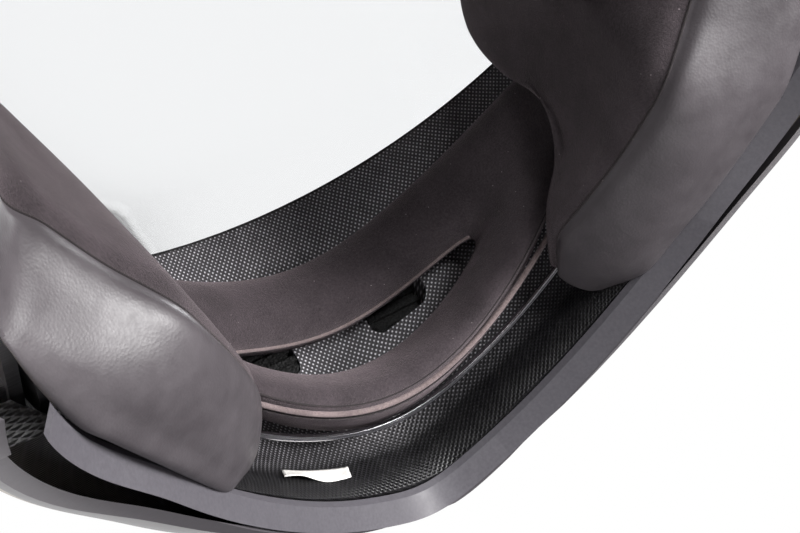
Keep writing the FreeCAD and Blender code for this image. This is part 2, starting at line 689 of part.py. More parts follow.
def padded_ring(back_side):
    end = RING_END_X
    lower = [(x, RING_LOW_Z + RING_SIDE_RISE * (x / 100.0) ** 2 - 0.6)
             for x in range(-int(end), int(end) + 1, 12)]
    upper = [(end - 4.0, RING_HIGH_Z - 6.0), (40.0, RING_HIGH_Z), (-40.0, RING_HIGH_Z),
             (4.0 - end, RING_HIGH_Z - 6.0)]
    body = back_side.common(front_prism(lower + upper, -FAR, RING_END_Y))
    return body.cut(ring_hole())


def ring_hole():
    """Long round-ended hole, bent up at its ends like the ring."""
    tall = (RING_HOLE_HIGH_Z - RING_HOLE_LOW_Z) / 2.0
    outline = []
    for i in range(32):
        turn = 2.0 * math.pi * i / 32
        x = RING_HOLE_HALF * math.copysign(abs(math.cos(turn)) ** 0.8, math.cos(turn))
        middle = RING_HOLE_LOW_Z + tall + RING_HOLE_RISE * (x / 100.0) ** 2
        outline.append((x, middle + tall * math.copysign(abs(math.sin(turn)) ** 0.8,
                                                         math.sin(turn))))
    return front_prism(outline)


def ring_wire():
    """Bright edge wire along the lower back edge of the padded ring."""
    level = (0.0, RING_HALF_WIDTH - 0.4, RING_REACH - 0.4, 92.0, 1.62)
    points = []
    count = 16
    for i in range(count + 1):
        angle = math.radians(52.0) * (2.0 * i / count - 1.0)
        flat = level_point(abs(angle), level)
        x = math.copysign(flat.x, angle)
        z = RING_LOW_Z - WIRE_R - 0.7 + RING_SIDE_RISE * (x / 100.0) ** 2
        points.append(Vector(x, flat.y, z))
    curve = Part.BSplineCurve()
    curve.interpolate(points)
    path = Part.Wire([curve.toShape()])
    start = curve.value(curve.FirstParameter)
    direction = curve.tangent(curve.FirstParameter)[0]
    ring = Part.Wire([Part.Circle(start, direction, WIRE_R).toShape()])
    return path.makePipeShell([ring], True, True)


def ring_clips(back_side, wall):
    """Clips that hold the padded ring off the chin liner, hidden behind it."""
    clips = None
    for x in (-66.0, -42.0, 0.0, 42.0, 66.0):
        clip = block((x - 5.0, -FAR, RING_HIGH_Z - 17.0), (x + 5.0, -20.0, RING_HIGH_Z - 9.0))
        clips = clip if clips is None else clips.fuse(clip)
    return clips.cut(back_side).common(wall)


def vent_filter(side):
    """Ribbed foam filter in one of the chin liner's holes."""
    x = side * VENT_X
    half = VENT_HALF_WIDTH + 1.0
    tall = VENT_HALF_HEIGHT
    low_y = CENTRE_Y - WALL_REACH_AT_VENT - 5.0
    body = block((x - half, low_y, VENT_Z - tall), (x + half, low_y + 4.0, VENT_Z + tall))
    for i in range(FILTER_RIBS):
        z = VENT_Z - tall + (i + 0.5) * 2.0 * tall / FILTER_RIBS
        body = body.fuse(block((x - half, low_y + 3.0, z - 0.9), (x + half, low_y + 5.4, z + 0.9)))
    return body.common(vent_hole(side, -0.3))


def lip_gasket(outer, wall):
    """Rubber edge that covers the chin bar's upper edge."""
    strip = lip_line(0.1 - GASKET_HEIGHT) + lip_line(0.0)[::-1]
    return outer.cut(wall).common(front_prism(strip, -FAR, LIP_BACK_Y - 0.5))


# ---- Pivots -------------------------------------------------------------------
def pivot_screw(side):
    """Shouldered screw from the main shell's cup through the arm."""
    inner_x = POCKET_X - POCKET_WALL - PLATE_THICK
    head_x = ARM_FACE_X + 0.3
    shank = disc(SCREW_R, side * inner_x, side * head_x)
    head = disc(SCREW_HEAD_R, side * head_x, side * (head_x + 3.4))
    slot = disc(SCREW_HEAD_R - 5.5, side * (head_x + 1.4), side * (head_x + 5.0))
    return shank.fuse(head).cut(slot)


def pivot_plate(side):
    """Reinforcing plate inside the cup, threaded for the screw."""
    inner_x = POCKET_X - POCKET_WALL
    plate = disc(PLATE_R, side * (inner_x - PLATE_THICK), side * inner_x)
    return plate.cut(disc(SCREW_R, side * 80.0, side * 140.0))


# ---- Latch --------------------------------------------------------------------
def latch_pin(side):
    """Steel pin that stands inwards from the main shell's wall."""
    return disc(LATCH_PIN_R, side * (CATCH_X - 1.0), side * LATCH_ROOT_X, LATCH_Y, LATCH_Z)


def catch_foot():
    """Foot that carries the left catch off the chin bar's wall."""
    return block((CATCH_X, LATCH_Y - 36.0, LATCH_Z - 7.0), (FAR, LATCH_Y - 22.0, LATCH_Z + 9.0))


def catch_room(side):
    """Space cut from the chin liner for the catch and its foot."""
    room = block((CATCH_X - 1.0, LATCH_Y - 37.0, LATCH_Z - 10.0),
                 (FAR, LATCH_Y + 8.0, LATCH_Z + 12.0))
    return on_side(room, side)


def latch_catch(side):
    """Forked plate; its mouth follows the pin's path round the pivot."""
    plate = block((CATCH_X, LATCH_Y - 36.0, LATCH_Z - 9.0),
                  (CATCH_X + CATCH_WALL, LATCH_Y + 7.0, LATCH_Z + 11.0))
    reach = math.hypot(LATCH_Y - PIVOT_Y, LATCH_Z - PIVOT_Z)
    half = LATCH_PIN_R + LATCH_SPARE
    mouth = disc(reach + half, 90.0, 140.0).cut(disc(reach - half, 80.0, 150.0))
    behind_pin = block((80.0, LATCH_Y, 0.0), (150.0, 60.0, 90.0))
    plate = plate.cut(mouth.common(behind_pin))
    plate = plate.cut(disc(half, 90.0, 140.0, LATCH_Y, LATCH_Z))
    return on_side(plate.fuse(catch_foot()).common(hull(SHELL_WALL + 0.05)), side)


# ---- Front details --------------------------------------------------------------
def button_shape(spare, travel=0.0):
    """Release button in the chin's front, just above the rim."""
    level = (BUTTON_LOW_Z + BUTTON_HIGH_Z) / 2.0
    front_y = CENTRE_Y - RIM_FRONT_REACH - 0.69 * CHIN_BULGE * level / (0.48 * CHIN_BULGE_Z)
    low_y = front_y - BUTTON_PROUD
    return rounded_block(
        (-BUTTON_HALF_WIDTH - spare, low_y - spare, BUTTON_LOW_Z - spare),
        (BUTTON_HALF_WIDTH + spare, low_y + BUTTON_LENGTH + spare + travel,
         BUTTON_HIGH_Z + spare), 1.5)


def chin_slider():
    """Shutter over the chin's air slot; it lifts to open."""
    half = SLOT_HALF_WIDTH + SLIDER_MARGIN
    window = front_prism([(-half, SLOT_LOW_Z - SLIDER_MARGIN),
                          (half, SLOT_LOW_Z - SLIDER_MARGIN),
                          (half, SLOT_LOW_Z + SLOT_HEIGHT + SLIDER_MARGIN),
                          (-half, SLOT_LOW_Z + SLOT_HEIGHT + SLIDER_MARGIN)], -FAR, -60.0)
    plate = hull(-SLIDER_THICK - 0.3).cut(hull(-0.3)).common(window)
    grip_y = CENTRE_Y - RIM_FRONT_REACH - CHIN_BULGE - SLIDER_THICK - GRIP_RISE
    grip = rounded_block((-7.0, grip_y, SLOT_LOW_Z + 1.6), (7.0, grip_y + GRIP_RISE + 1.8, SLOT_LOW_Z + 4.4), 1.0)
    return plate.fuse(grip)


def chin_slider_rails():
    """Two guides, one at each side of the shutter."""
    near = SLOT_HALF_WIDTH + SLIDER_MARGIN + 0.35
    rails = None
    for side in (1, -1):
        window = front_prism([(side * near, SLOT_LOW_Z - 5.0), (side * (near + 4.0), SLOT_LOW_Z - 3.0),
                              (side * (near + 4.0), SLOT_LOW_Z + SLOT_HEIGHT + 10.0),
                              (side * near, SLOT_LOW_Z + SLOT_HEIGHT + 12.0)], -FAR, -60.0)
        rail = hull(-SLIDER_THICK - 0.6).cut(hull(-0.05)).common(window)
        rails = rail if rails is None else rails.fuse(rail)
    return rails


def brow_gasket(outer):
    """Rubber edge along the eye port's upper edge on the main shell."""
    main = side_prism(main_outline())
    moved = main.translated(Vector(0, -2.6, -2.6))
    strip = hull(0.2).cut(hull(SHELL_WALL - 0.2)).common(moved.cut(main))
    strip = strip.common(block((-FAR, -FAR, BROW_Z - 30.0), (FAR, PORT_BACK_Y + 4.0, FAR)))
    return clear_of_cups(strip.cut(pockets(POCKET_R + 1.0, 80.0)), 0.2)


# ---- Visor ------------------------------------------------------------------------
def visor_outline():
    """Side outline of the shield, ending in an arm to the pivot."""
    return [(-FAR, VISOR_LOW_Z), (-66.0, VISOR_LOW_Z - 2.0), (-50.0, VISOR_LOW_Z + 12.0),
            (-36.0, PIVOT_Z - 34.0), (PIVOT_Y - 18.0, PIVOT_Z - 20.0),
            (PIVOT_Y - 12.0, PIVOT_Z + 12.0), (-30.0, PIVOT_Z + 18.0),
            (-52.0, VISOR_HIGH_Z - 14.0), (-84.0, VISOR_HIGH_Z - 2.0), (-FAR, VISOR_HIGH_Z + 2.0)]


def visor_shield():
    outline = side_prism(visor_outline())
    band = hull(-VISOR_GAP - VISOR_WALL).cut(hull(-VISOR_GAP)).common(outline)
    eye_x = ARM_FACE_X + 0.4
    eye_top = eye_x + 3.2
    band = band.cut(disc(COVER_R + 1.0, eye_top, FAR)).cut(disc(COVER_R + 1.0, -eye_top, -FAR))
    body = band
    for side in (1, -1):
        arm = outline.common(disc(ARM_FACE_R - 0.8, side * eye_x, side * eye_top))
        eye = disc(VISOR_EYE_R, side * eye_x, side * eye_top)
        body = body.fuse(arm).fuse(eye)
    for side in (1, -1):
        body = body.cut(disc(SCREW_HEAD_R + 0.08, side * 100.0, side * 160.0))
    return body


def visor_cover(side):
    """Round cap over the visor's eye and the pivot screw."""
    low = ARM_FACE_X + 0.4 + 3.2 + 0.2
    cap = disc(COVER_R, side * low, side * (low + COVER_THICK))
    rim = [edge for edge in cap.Edges
           if abs(abs(edge.CenterOfMass.x) - low - COVER_THICK) < 0.01]
    return cap.makeFillet(COVER_THICK * 0.6, rim)


def visor_tab():
    """Thumb tab at the shield's lower left corner."""
    body = hull(-VISOR_GAP - VISOR_WALL - 4.0).cut(hull(-VISOR_GAP - VISOR_WALL - 0.05))
    window = front_prism([(42.0, VISOR_LOW_Z + 2.0), (60.0, VISOR_LOW_Z + 2.0),
                          (58.0, VISOR_LOW_Z + 9.0), (44.0, VISOR_LOW_Z + 9.0)], -FAR, -20.0)
    return body.common(window)


# ---- Crown and back ---------------------------------------------------------------
def top_vent_housing():
    half = TOP_VENT_HALF_WIDTH
    front = TOP_VENT_Y - TOP_VENT_LENGTH / 2.0
    back = front + TOP_VENT_LENGTH
    points = [(-half + 10.0, front), (half - 10.0, front), (half, front + 12.0),
              (half - 6.0, back), (-half + 6.0, back), (-half, front + 12.0)]
    face = face_from([Vector(x, y, WIDEST_Z) for x, y in points])
    column = face.extrude(Vector(0, 0, CROWN_RISE + 40.0))
    body = hull(-TOP_VENT_RISE).cut(hull(-0.05)).common(column)
    mouth = block((-half + 13.0, -FAR, WIDEST_Z), (half - 13.0, front + 8.0, FAR))
    body = body.cut(mouth.common(hull(-TOP_VENT_RISE + 2.5)))
    return body.cut(top_slider_slot())


def top_slider_slot():
    top = WIDEST_Z + CROWN_RISE + TOP_VENT_RISE
    half = TOP_SLIDER_WIDTH / 2.0 + 0.3
    front = TOP_VENT_Y - 6.0 - 0.3
    back = front + TOP_SLIDER_LENGTH + TOP_SLIDER_TRAVEL + 0.6
    return block((-half, front, top - 5.0), (half, back, top + 20.0))


def top_slider():
    top = WIDEST_Z + CROWN_RISE + TOP_VENT_RISE
    half = TOP_SLIDER_WIDTH / 2.0
    front = TOP_VENT_Y - 6.0
    body = block((-half, front, top - 4.8), (half, front + TOP_SLIDER_LENGTH, top + 0.5))
    rib = block((-half + 2.0, front + 4.0, top), (half - 2.0, front + 8.0, top + 2.6))
    return body.fuse(rib)


def rear_exhaust():
    half = EXHAUST_HALF_WIDTH
    low = EXHAUST_Z - EXHAUST_HEIGHT / 2.0
    high = low + EXHAUST_HEIGHT
    window = front_prism([(-half, high), (half, high), (half - 10.0, low), (10.0 - half, low)],
                         100.0, FAR)
    body = hull(-EXHAUST_RISE).cut(hull(-0.05)).common(window)
    for x in (-18.0, 0.0, 18.0):
        slot = block((x - 6.0, 100.0, low - 5.0), (x + 6.0, FAR, low + 10.0))
        body = body.cut(slot.common(hull(-EXHAUST_RISE + 2.0)))
    return body


# ---- Chin strap -------------------------------------------------------------------
def strap_rivet(side):
    """Rivet through the shell, the block and the webbing's loop."""
    inner_x = PAD_OUTER_X - STRAP_THICK - 2.4
    body = disc(RIVET_R, side * inner_x, side * HALF_WIDTH, STRAP_Y, STRAP_ANCHOR_Z)
    head = disc(RIVET_R + 3.0, side * (inner_x - 1.2), side * inner_x, STRAP_Y, STRAP_ANCHOR_Z)
    return body.fuse(head)


def swung(shape):
    """A strap piece drawn hanging straight down, swung back towards the neck roll."""
    return shape.rotated(Vector(0, STRAP_Y, STRAP_ANCHOR_Z), Vector(1, 0, 0), STRAP_SWING)


def strap_path(end_x):
    """Middle line of the webbing from its rivet to end_x, as (x, z)."""
    outer = PAD_OUTER_X - STRAP_THICK / 2.0 - 1.0
    return [(outer, STRAP_ANCHOR_Z + 9.0), (outer, 40.0), (outer - 3.0, 31.0),
            (outer - 12.0, 24.0), (outer - 30.0, STRAP_LOW_Z + 4.0),
            (outer - 48.0, STRAP_LOW_Z), (end_x, STRAP_LOW_Z)]


def strap(side, end_x):
    path = strap_path(end_x)
    half = STRAP_THICK / 2.0
    one = []
    other = []
    for i, (x, z) in enumerate(path):
        before = path[max(0, i - 1)]
        after = path[min(len(path) - 1, i + 1)]
        run = math.hypot(after[0] - before[0], after[1] - before[1])
        nx = -(after[1] - before[1]) / run
        nz = (after[0] - before[0]) / run
        one.append((x + half * nx, z + half * nz))
        other.append((x - half * nx, z - half * nz))
    outline = one + other[::-1]
    body = front_prism(outline, STRAP_Y - STRAP_WIDTH / 2.0, STRAP_Y + STRAP_WIDTH / 2.0)
    return swung(on_side(body, side)).cut(strap_rivet(side))


def buckle_frame():
    """Ratchet buckle's channel on the left webbing."""
    low_y = STRAP_Y - STRAP_WIDTH / 2.0 - 2.0
    high_y = STRAP_Y + STRAP_WIDTH / 2.0 + 2.0
    base_z = STRAP_LOW_Z - 4.0
    body = block((-BUCKLE_HALF, low_y, base_z), (BUCKLE_HALF, high_y, base_z + 1.6))
    step_z = STRAP_LOW_Z - STRAP_THICK / 2.0 - SEAT_GAP
    body = body.fuse(block((BUCKLE_HALF - 7.0, low_y, base_z), (BUCKLE_HALF, high_y, step_z)))
    for y in (low_y, high_y - 1.6):
        body = body.fuse(block((-BUCKLE_HALF, y, base_z), (BUCKLE_HALF, y + 1.6, base_z + 12.0)))
    bore = Part.makeCylinder(1.55, 60.0, Vector(-BUCKLE_HALF + 5.0, low_y - 10.0, base_z + 8.6),
                             Vector(0, 1, 0))
    return swung(body.cut(bore))


def buckle_lever():
    """Lever on its pin; it lifts to free the toothed strip."""
    low_y = STRAP_Y - STRAP_WIDTH / 2.0 + 0.1
    high_y = STRAP_Y + STRAP_WIDTH / 2.0 - 0.1
    base_z = STRAP_LOW_Z - 4.0
    x = -BUCKLE_HALF + 5.0
    pin = Part.makeCylinder(1.5, STRAP_WIDTH + 4.0, Vector(x, low_y - 2.1, base_z + 8.6),
                            Vector(0, 1, 0))
    barrel = Part.makeCylinder(2.6, high_y - low_y, Vector(x, low_y, base_z + 8.6), Vector(0, 1, 0))
    plate = block((x, low_y, base_z + 9.0), (BUCKLE_HALF + 6.0, high_y, base_z + 11.2))
    return swung(pin.fuse(barrel).fuse(plate))


def toothed_strip():
    """Ratchet strip on the end of the right webbing, inside the buckle."""
    low_y = STRAP_Y - STRAP_WIDTH / 2.0 + 3.0
    high_y = STRAP_Y + STRAP_WIDTH / 2.0 - 3.0
    base_z = STRAP_LOW_Z - 4.0 + 1.9
    length = 2.0 * BUCKLE_HALF + 8.0
    start_x = -BUCKLE_HALF - STRIP_TAIL
    teeth = [(start_x, base_z), (start_x, base_z + 2.0)]
    pitch = 3.0
    x = start_x + 8.0
    while x < start_x + length - pitch:
        teeth += [(x, base_z + 1.6), (x, base_z + 2.8), (x + pitch * 0.8, base_z + 1.6)]
        x += pitch
    teeth.append((start_x + length, base_z))
    return swung(front_prism(teeth, low_y, high_y))


def neck_rim_trim(inner):
    """Rubber edge along the main shell's lower rim, from the ears to the neck roll."""
    strip = side_prism(side_rim(0.0) + side_rim(3.0)[::-1], -FAR, FAR)
    sides = block((-FAR, 16.0, -10.0), (FAR, NECK_FRONT_Y - 0.5, FAR))
    body = inner.cut(hull(SHELL_WALL + 2.2)).common(strip).common(sides)
    for side in (1, -1):
        body = body.cut(on_side(block((0.0, 0.0, 0.0), (PAD_OUTER_X + 4.0, PAD_BACK_Y + 1.0, FAR)), side))
    return body


def main_parts():
    os.makedirs("parts", exist_ok=True)
    outer = hull(0.0)
    inner = hull(SHELL_WALL)
    wall = chin_wall(0.0)
    back = ring_wall(0.0)
    ring_body = back.cut(ring_wall(RING_THICK))
    ring_front = ring_wall(RING_THICK + PAD_GAP)
    pad_wall = chin_wall(PAD_GAP)
    carrier_wall = chin_wall(PAD_GAP * 0.5)

    save("outer_shell", outer_shell(outer, inner))
    save("crown_liner", crown_liner())
    save("crown_padding", crown_padding())
    save("neck_roll", neck_roll())
    save("neck_rim_trim", neck_rim_trim(inner))
    save("brow_gasket", brow_gasket(outer))
    save("top_vent_housing", top_vent_housing())
    save("top_vent_slider", top_slider())
    save("rear_exhaust", rear_exhaust())

    save("chin_bar_shell", chin_bar_shell(outer, inner))
    save("chin_bar_liner", chin_bar_liner(hull(SHELL_WALL + SEAT_GAP), wall))
    save("chin_rim_trim", chin_rim_trim())
    save("eyeport_lip_gasket", lip_gasket(outer, wall))
    save("chin_pad", padded_ring(ring_body))
    save("chin_pad_wire", ring_wire())
    save("chin_pad_clips", ring_clips(back, wall))
    save("release_button", button_shape(0.0))
    save("chin_vent_slider", chin_slider())
    save("chin_vent_rails", chin_slider_rails())

    save("visor_shield", visor_shield())
    save("visor_tab", visor_tab())

    for name, side in SIDES.items():
        save("cheek_pad_" + name, cheek_pad(side, pad_wall, ring_front))
        save("cheek_carrier_" + name, pad_carrier(side, carrier_wall))
        save("cheek_block_" + name, cheek_hard_block(side))
        save("vent_filter_" + name, vent_filter(side))
        save("pivot_plate_" + name, pivot_plate(side))
        save("pivot_screw_" + name, pivot_screw(side))
        save("visor_cover_" + name, visor_cover(side))
        save("latch_pin_" + name, latch_pin(side))
        save("latch_catch_" + name, latch_catch(side))
        save("strap_rivet_" + name, strap_rivet(side).common(outer))
    save("chin_strap_left", strap(1, BUCKLE_HALF - 2.0))
    save("chin_strap_right", strap(-1, BUCKLE_HALF + STRIP_TAIL + 0.3))
    save("buckle_frame", buckle_frame())
    save("buckle_lever", buckle_lever())
    save("toothed_strip", toothed_strip())


main_parts()
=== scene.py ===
import math

import bmesh
import bpy
import numpy as np
from mathutils import Matrix, Vector
from mathutils.bvhtree import BVHTree
from mathutils.kdtree import KDTree


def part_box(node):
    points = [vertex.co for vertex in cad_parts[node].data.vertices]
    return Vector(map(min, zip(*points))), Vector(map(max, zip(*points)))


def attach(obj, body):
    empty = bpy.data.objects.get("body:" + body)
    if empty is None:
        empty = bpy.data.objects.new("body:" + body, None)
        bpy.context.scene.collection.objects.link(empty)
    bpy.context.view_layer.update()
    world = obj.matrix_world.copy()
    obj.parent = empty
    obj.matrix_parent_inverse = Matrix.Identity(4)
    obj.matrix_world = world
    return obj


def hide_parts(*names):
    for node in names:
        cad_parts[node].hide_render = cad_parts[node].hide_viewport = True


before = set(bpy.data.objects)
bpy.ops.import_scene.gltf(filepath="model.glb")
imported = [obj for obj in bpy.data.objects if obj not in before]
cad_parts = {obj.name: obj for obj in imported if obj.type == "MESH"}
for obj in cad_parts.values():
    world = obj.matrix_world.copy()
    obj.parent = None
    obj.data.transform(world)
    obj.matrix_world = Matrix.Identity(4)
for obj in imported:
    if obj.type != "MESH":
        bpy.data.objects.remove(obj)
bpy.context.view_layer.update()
MM = 0.001
CENTRE_Y = 0.015        # the upright line that the helmet's outlines are drawn round
LINER_REACH = 0.148     # from that line to the chin bar's liner
GRID_PITCH = 0.0012
HEM_TOP = 0.0087        # upper edge of the lacquer's dark hem


# ---- Colours and shader nodes -------------------------------------------------
def colour(code):
    """An sRGB hex colour as a linear one."""
    parts = [int(code[i:i + 2], 16) / 255.0 for i in (1, 3, 5)]
    return tuple(p / 12.92 if p <= 0.04045 else ((p + 0.055) / 1.055) ** 2.4
                 for p in parts) + (1.0,)


def node(tree, kind, inputs=None, **settings):
    """Adds a node; inputs maps its sockets to values or to other nodes' outputs."""
    made = tree.nodes.new("ShaderNode" + kind)
    for key, value in settings.items():
        setattr(made, key, value)
    for key, value in (inputs or {}).items():
        if isinstance(value, bpy.types.NodeSocket):
            tree.links.new(value, made.inputs[key])
        else:
            made.inputs[key].default_value = value
    return made


def maths(tree, operation, a, b=0.0):
    return node(tree, "Math", {0: a, 1: b}, operation=operation).outputs[0]


def place(tree):
    """Position on the piece in metres, as (vector, x, y, z)."""
    vector = node(tree, "TexCoord").outputs["Object"]
    split = node(tree, "SeparateXYZ", {0: vector})
    return vector, split.outputs[0], split.outputs[1], split.outputs[2]


def noise(tree, size, detail=3.0, rough=0.55):
    """Cloudy pattern whose features are about size metres wide."""
    vector = node(tree, "TexCoord").outputs["Object"]
    return node(tree, "TexNoise", {"Vector": vector, "Scale": 1.0 / size, "Detail": detail,
                                   "Roughness": rough}).outputs["Fac"]


def cells(tree, size, feature="F1"):
    vector = node(tree, "TexCoord").outputs["Object"]
    return node(tree, "TexVoronoi", {"Vector": vector, "Scale": 1.0 / size},
                feature=feature).outputs["Distance"]


def ramp(tree, factor, stops):
    """Colour ramp through (place, hex) stops."""
    made = node(tree, "ValToRGB", {0: factor})
    elements = made.color_ramp.elements
    while len(elements) < len(stops):
        elements.new(0.5)
    for element, (at, code) in zip(elements, stops):
        element.position = at
        element.color = colour(code)
    return made.outputs[0]


def spread(tree, factor, low, high, new_low=0.0, new_high=1.0):
    return node(tree, "MapRange", {0: factor, 1: low, 2: high, 3: new_low, 4: new_high}).outputs[0]


def bump(tree, height, depth, strength=1.0, under=None):
    """Normal bumped by height, a 0 to 1 pattern that is depth metres deep."""
    inputs = {"Height": height, "Distance": depth, "Strength": strength}
    if under is not None:
        inputs["Normal"] = under
    return node(tree, "Bump", inputs).outputs[0]


def surface(name, rough=0.5, metal=0.0, **more):
    """New material; returns (material, node tree, its main shader)."""
    made = bpy.data.materials.new(name)
    made.use_nodes = True
    tree = made.node_tree
    shader = tree.nodes["Principled BSDF"]
    shader.inputs["Roughness"].default_value = rough
    shader.inputs["Metallic"].default_value = metal
    for key, value in more.items():
        shader.inputs[key.replace("_", " ")].default_value = value
    return made, tree, shader


def finish(tree, shader, tint, normal=None, rough=None):
    tree.links.new(tint, shader.inputs["Base Color"])
    if normal is not None:
        tree.links.new(normal, shader.inputs["Normal"])
    if rough is not None:
        tree.links.new(rough, shader.inputs["Roughness"])


def band(tree, value, low, high, soft):
    """1 between low and high, 0 outside, with soft edges."""
    rise = spread(tree, value, low - soft, low + soft)
    fall = spread(tree, value, high - soft, high + soft, 1.0, 0.0)
    return maths(tree, "MULTIPLY", rise, fall)


def mix(tree, factor, a, b):
    return node(tree, "Mix", {0: factor, 6: a, 7: b}, data_type="RGBA").outputs[2]


def shell_lacquer():
    """Warm grey lacquer with a pale and a red stripe above a dark hem, clear coated over a
    faint orange peel."""
    made, tree, shader = surface("shell_lacquer", 0.42, 0.15, Coat_Weight=0.35, Coat_Roughness=0.18)
    vector, x, y, z = place(tree)
    base = ramp(tree, noise(tree, 0.0006, 2.0), [(0.3, "#8b8278"), (0.7, "#958c81")])
    level = maths(tree, "ADD", z, maths(tree, "MULTIPLY", y, 0.22))
    pale = band(tree, level, 0.012, 0.030, 0.0003)
    red = band(tree, level, 0.034, 0.040, 0.0003)
    tint = mix(tree, pale, base, colour("#dcd8d2"))
    tint = mix(tree, red, tint, colour("#8c2a26"))
    hem = spread(tree, z, HEM_TOP - 0.0002, HEM_TOP + 0.0002, 1.0, 0.0)
    tint = mix(tree, hem, tint, colour("#4b484c"))
    finish(tree, shader, tint, bump(tree, noise(tree, 0.0022, 2.0), 0.00004))
    return made


def grain_plastic(name, code, dark, rough, size=0.0005, depth=0.00006):
    """Moulded plastic with an eroded grain."""
    made, tree, shader = surface(name, rough)
    tint = ramp(tree, noise(tree, size * 3.0), [(0.3, dark), (0.7, code)])
    grain = bump(tree, noise(tree, size, 4.0), depth)
    finish(tree, shader, tint, grain,
           spread(tree, noise(tree, 0.004), 0.3, 0.7, rough - 0.05, rough + 0.06))
    return made


def grid_liner():
    """Dark liner skin embossed with a fine diagonal grid of 1.2 mm. From 22 to 40 mm up it blends
    from a near-black copy below, painted shade, to a much lighter copy above, painted light.
    """
    made, tree, shader = surface("embossed_liner_skin", 0.5)
    vector, x, y, z = place(tree)
    back = maths(tree, "SUBTRACT", CENTRE_Y, y)
    turn = maths(tree, "ARCTAN2", x, back)
    arc = maths(tree, "MULTIPLY", turn, LINER_REACH)
    normal = node(tree, "SeparateXYZ", {0: node(tree, "NewGeometry").outputs["True Normal"]})
    flat = spread(tree, maths(tree, "ABSOLUTE", normal.outputs[2]), 0.62, 0.72)
    down = maths(tree, "ADD", maths(tree, "MULTIPLY", z, maths(tree, "SUBTRACT", 1.0, flat)),
                 maths(tree, "MULTIPLY", y, flat))
    waves = []
    for sign in (1.0, -1.0):
        run = maths(tree, "ADD", arc, maths(tree, "MULTIPLY", down, sign))
        phase = maths(tree, "MULTIPLY", run, 2.0 * math.pi / (GRID_PITCH * math.sqrt(2.0)))
        waves.append(spread(tree, maths(tree, "SINE", phase), -1.0, 1.0))
    ribs = maths(tree, "MAXIMUM", waves[0], waves[1])
    dots = maths(tree, "MULTIPLY", waves[0], waves[1])
    speck = spread(tree, maths(tree, "ADD", dots, maths(tree, "MULTIPLY", noise(tree, 0.003), 0.5)),
                   0.55, 1.15)
    # Painted light and shade: the upper copy is coloured as lit, up to near white, and the lower
    # copy near black as shaded; they are blended by height.
    painted_lit_grid = ramp(tree, speck, [(0.0, "#3f3d40"), (0.5, "#8c8a8f"), (1.0, "#e2e0e6")])
    painted_shaded_grid = ramp(tree, speck, [(0.0, "#080809"), (0.6, "#121113"), (1.0, "#3c3a3f")])
    tint = mix(tree, spread(tree, z, 0.022, 0.040), painted_shaded_grid, painted_lit_grid)
    rise = maths(tree, "MULTIPLY", maths(tree, "MULTIPLY", x, x), 0.48)
    edge = spread(tree, maths(tree, "ADD", z, rise), 0.1002, 0.1006)
    tint = mix(tree, edge, tint, colour("#0d0d0e"))
    under = bump(tree, noise(tree, 0.012, 2.0), 0.0003)
    finish(tree, shader, tint, bump(tree, ribs, 0.00022, 1.0, under),
           spread(tree, noise(tree, 0.006), 0.3, 0.7, 0.38, 0.55))
    return made


def suede(name="napped_suede", light="#423a3e", dark="#221c1f"):
    """Napped cloth: short brushed fibres, cloudy nap and a few specks of lint."""
    made, tree, shader = surface(name, 0.95, Sheen_Weight=0.5, Sheen_Roughness=0.4)
    shader.inputs["Sheen Tint"].default_value = colour("#b6a6ab")
    nap = maths(tree, "ADD", maths(tree, "MULTIPLY", noise(tree, 0.012, 3.0), 0.4),
                maths(tree, "MULTIPLY", noise(tree, 0.0006, 4.0, 0.7), 0.7))
    tint = ramp(tree, nap, [(0.4, dark), (0.72, light)])
    lint = spread(tree, cells(tree, 0.0032), 0.03, 0.05, 1.0, 0.0)
    tint = mix(tree, maths(tree, "MULTIPLY", lint, 0.6), tint, colour("#c2b7ba"))
    fibres = bump(tree, noise(tree, 0.00055, 5.0, 0.75), 0.00035)
    finish(tree, shader, tint, bump(tree, noise(tree, 0.014, 2.0), 0.0009, 0.7, fibres))
    return made


def leather(name="soft_black_leather", light="#4c484b", dark="#3f3b3e"):
    """Soft leather with a fine pebble grain and shallow creases."""
    made, tree, shader = surface(name, 0.42, Coat_Weight=0.1, Coat_Roughness=0.4)
    tint = ramp(tree, noise(tree, 0.01), [(0.3, dark), (0.7, light)])
    pebble = bump(tree, cells(tree, 0.0007), 0.00005, 0.6)
    crease = bump(tree, noise(tree, 0.05, 1.0, 0.4), 0.0010, 0.5, pebble)
    finish(tree, shader, tint, crease, spread(tree, noise(tree, 0.003), 0.3, 0.7, 0.36, 0.5))
    return made


def knit():
    """Brushed knit: small loops in rows."""
    made, tree, shader = surface("brushed_knit_lining", 0.9, Sheen_Weight=0.3)
    vector, x, y, z = place(tree)
    step = 2.0 * math.pi / 0.0016
    across = maths(tree, "SINE", maths(tree, "MULTIPLY", maths(tree, "ADD", x, z), step))
    along = maths(tree, "SINE", maths(tree, "MULTIPLY", y, step * 1.3))
    loops = spread(tree, maths(tree, "MULTIPLY", across, along), -1.0, 1.0)
    tint = ramp(tree, loops, [(0.0, "#2a2829"), (1.0, "#4d494b")])
    finish(tree, shader, tint, bump(tree, loops, 0.0003))
    return made


def webbing():
    """Woven webbing with a herringbone of 1.5 mm."""
    made, tree, shader = surface("woven_webbing", 0.75)
    vector, x, y, z = place(tree)
    step = 2.0 * math.pi / 0.0015
    fold = maths(tree, "PINGPONG", y, 0.0033)
    weave = maths(tree, "SINE", maths(tree, "MULTIPLY", maths(tree, "ADD", x, fold), step))
    weave = spread(tree, weave, -1.0, 1.0)
    tint = ramp(tree, weave, [(0.0, "#1a1a1b"), (1.0, "#39383a")])
    finish(tree, shader, tint, bump(tree, weave, 0.0002))
    return made


def foam(name, code, dark, size, depth):
    """Bead or cell foam."""
    made, tree, shader = surface(name, 0.8)
    pattern = cells(tree, size)
    tint = ramp(tree, pattern, [(0.2, code), (0.75, dark)])
    finish(tree, shader, tint, bump(tree, spread(tree, pattern, 0.1, 0.8, 1.0, 0.0), depth))
    return made


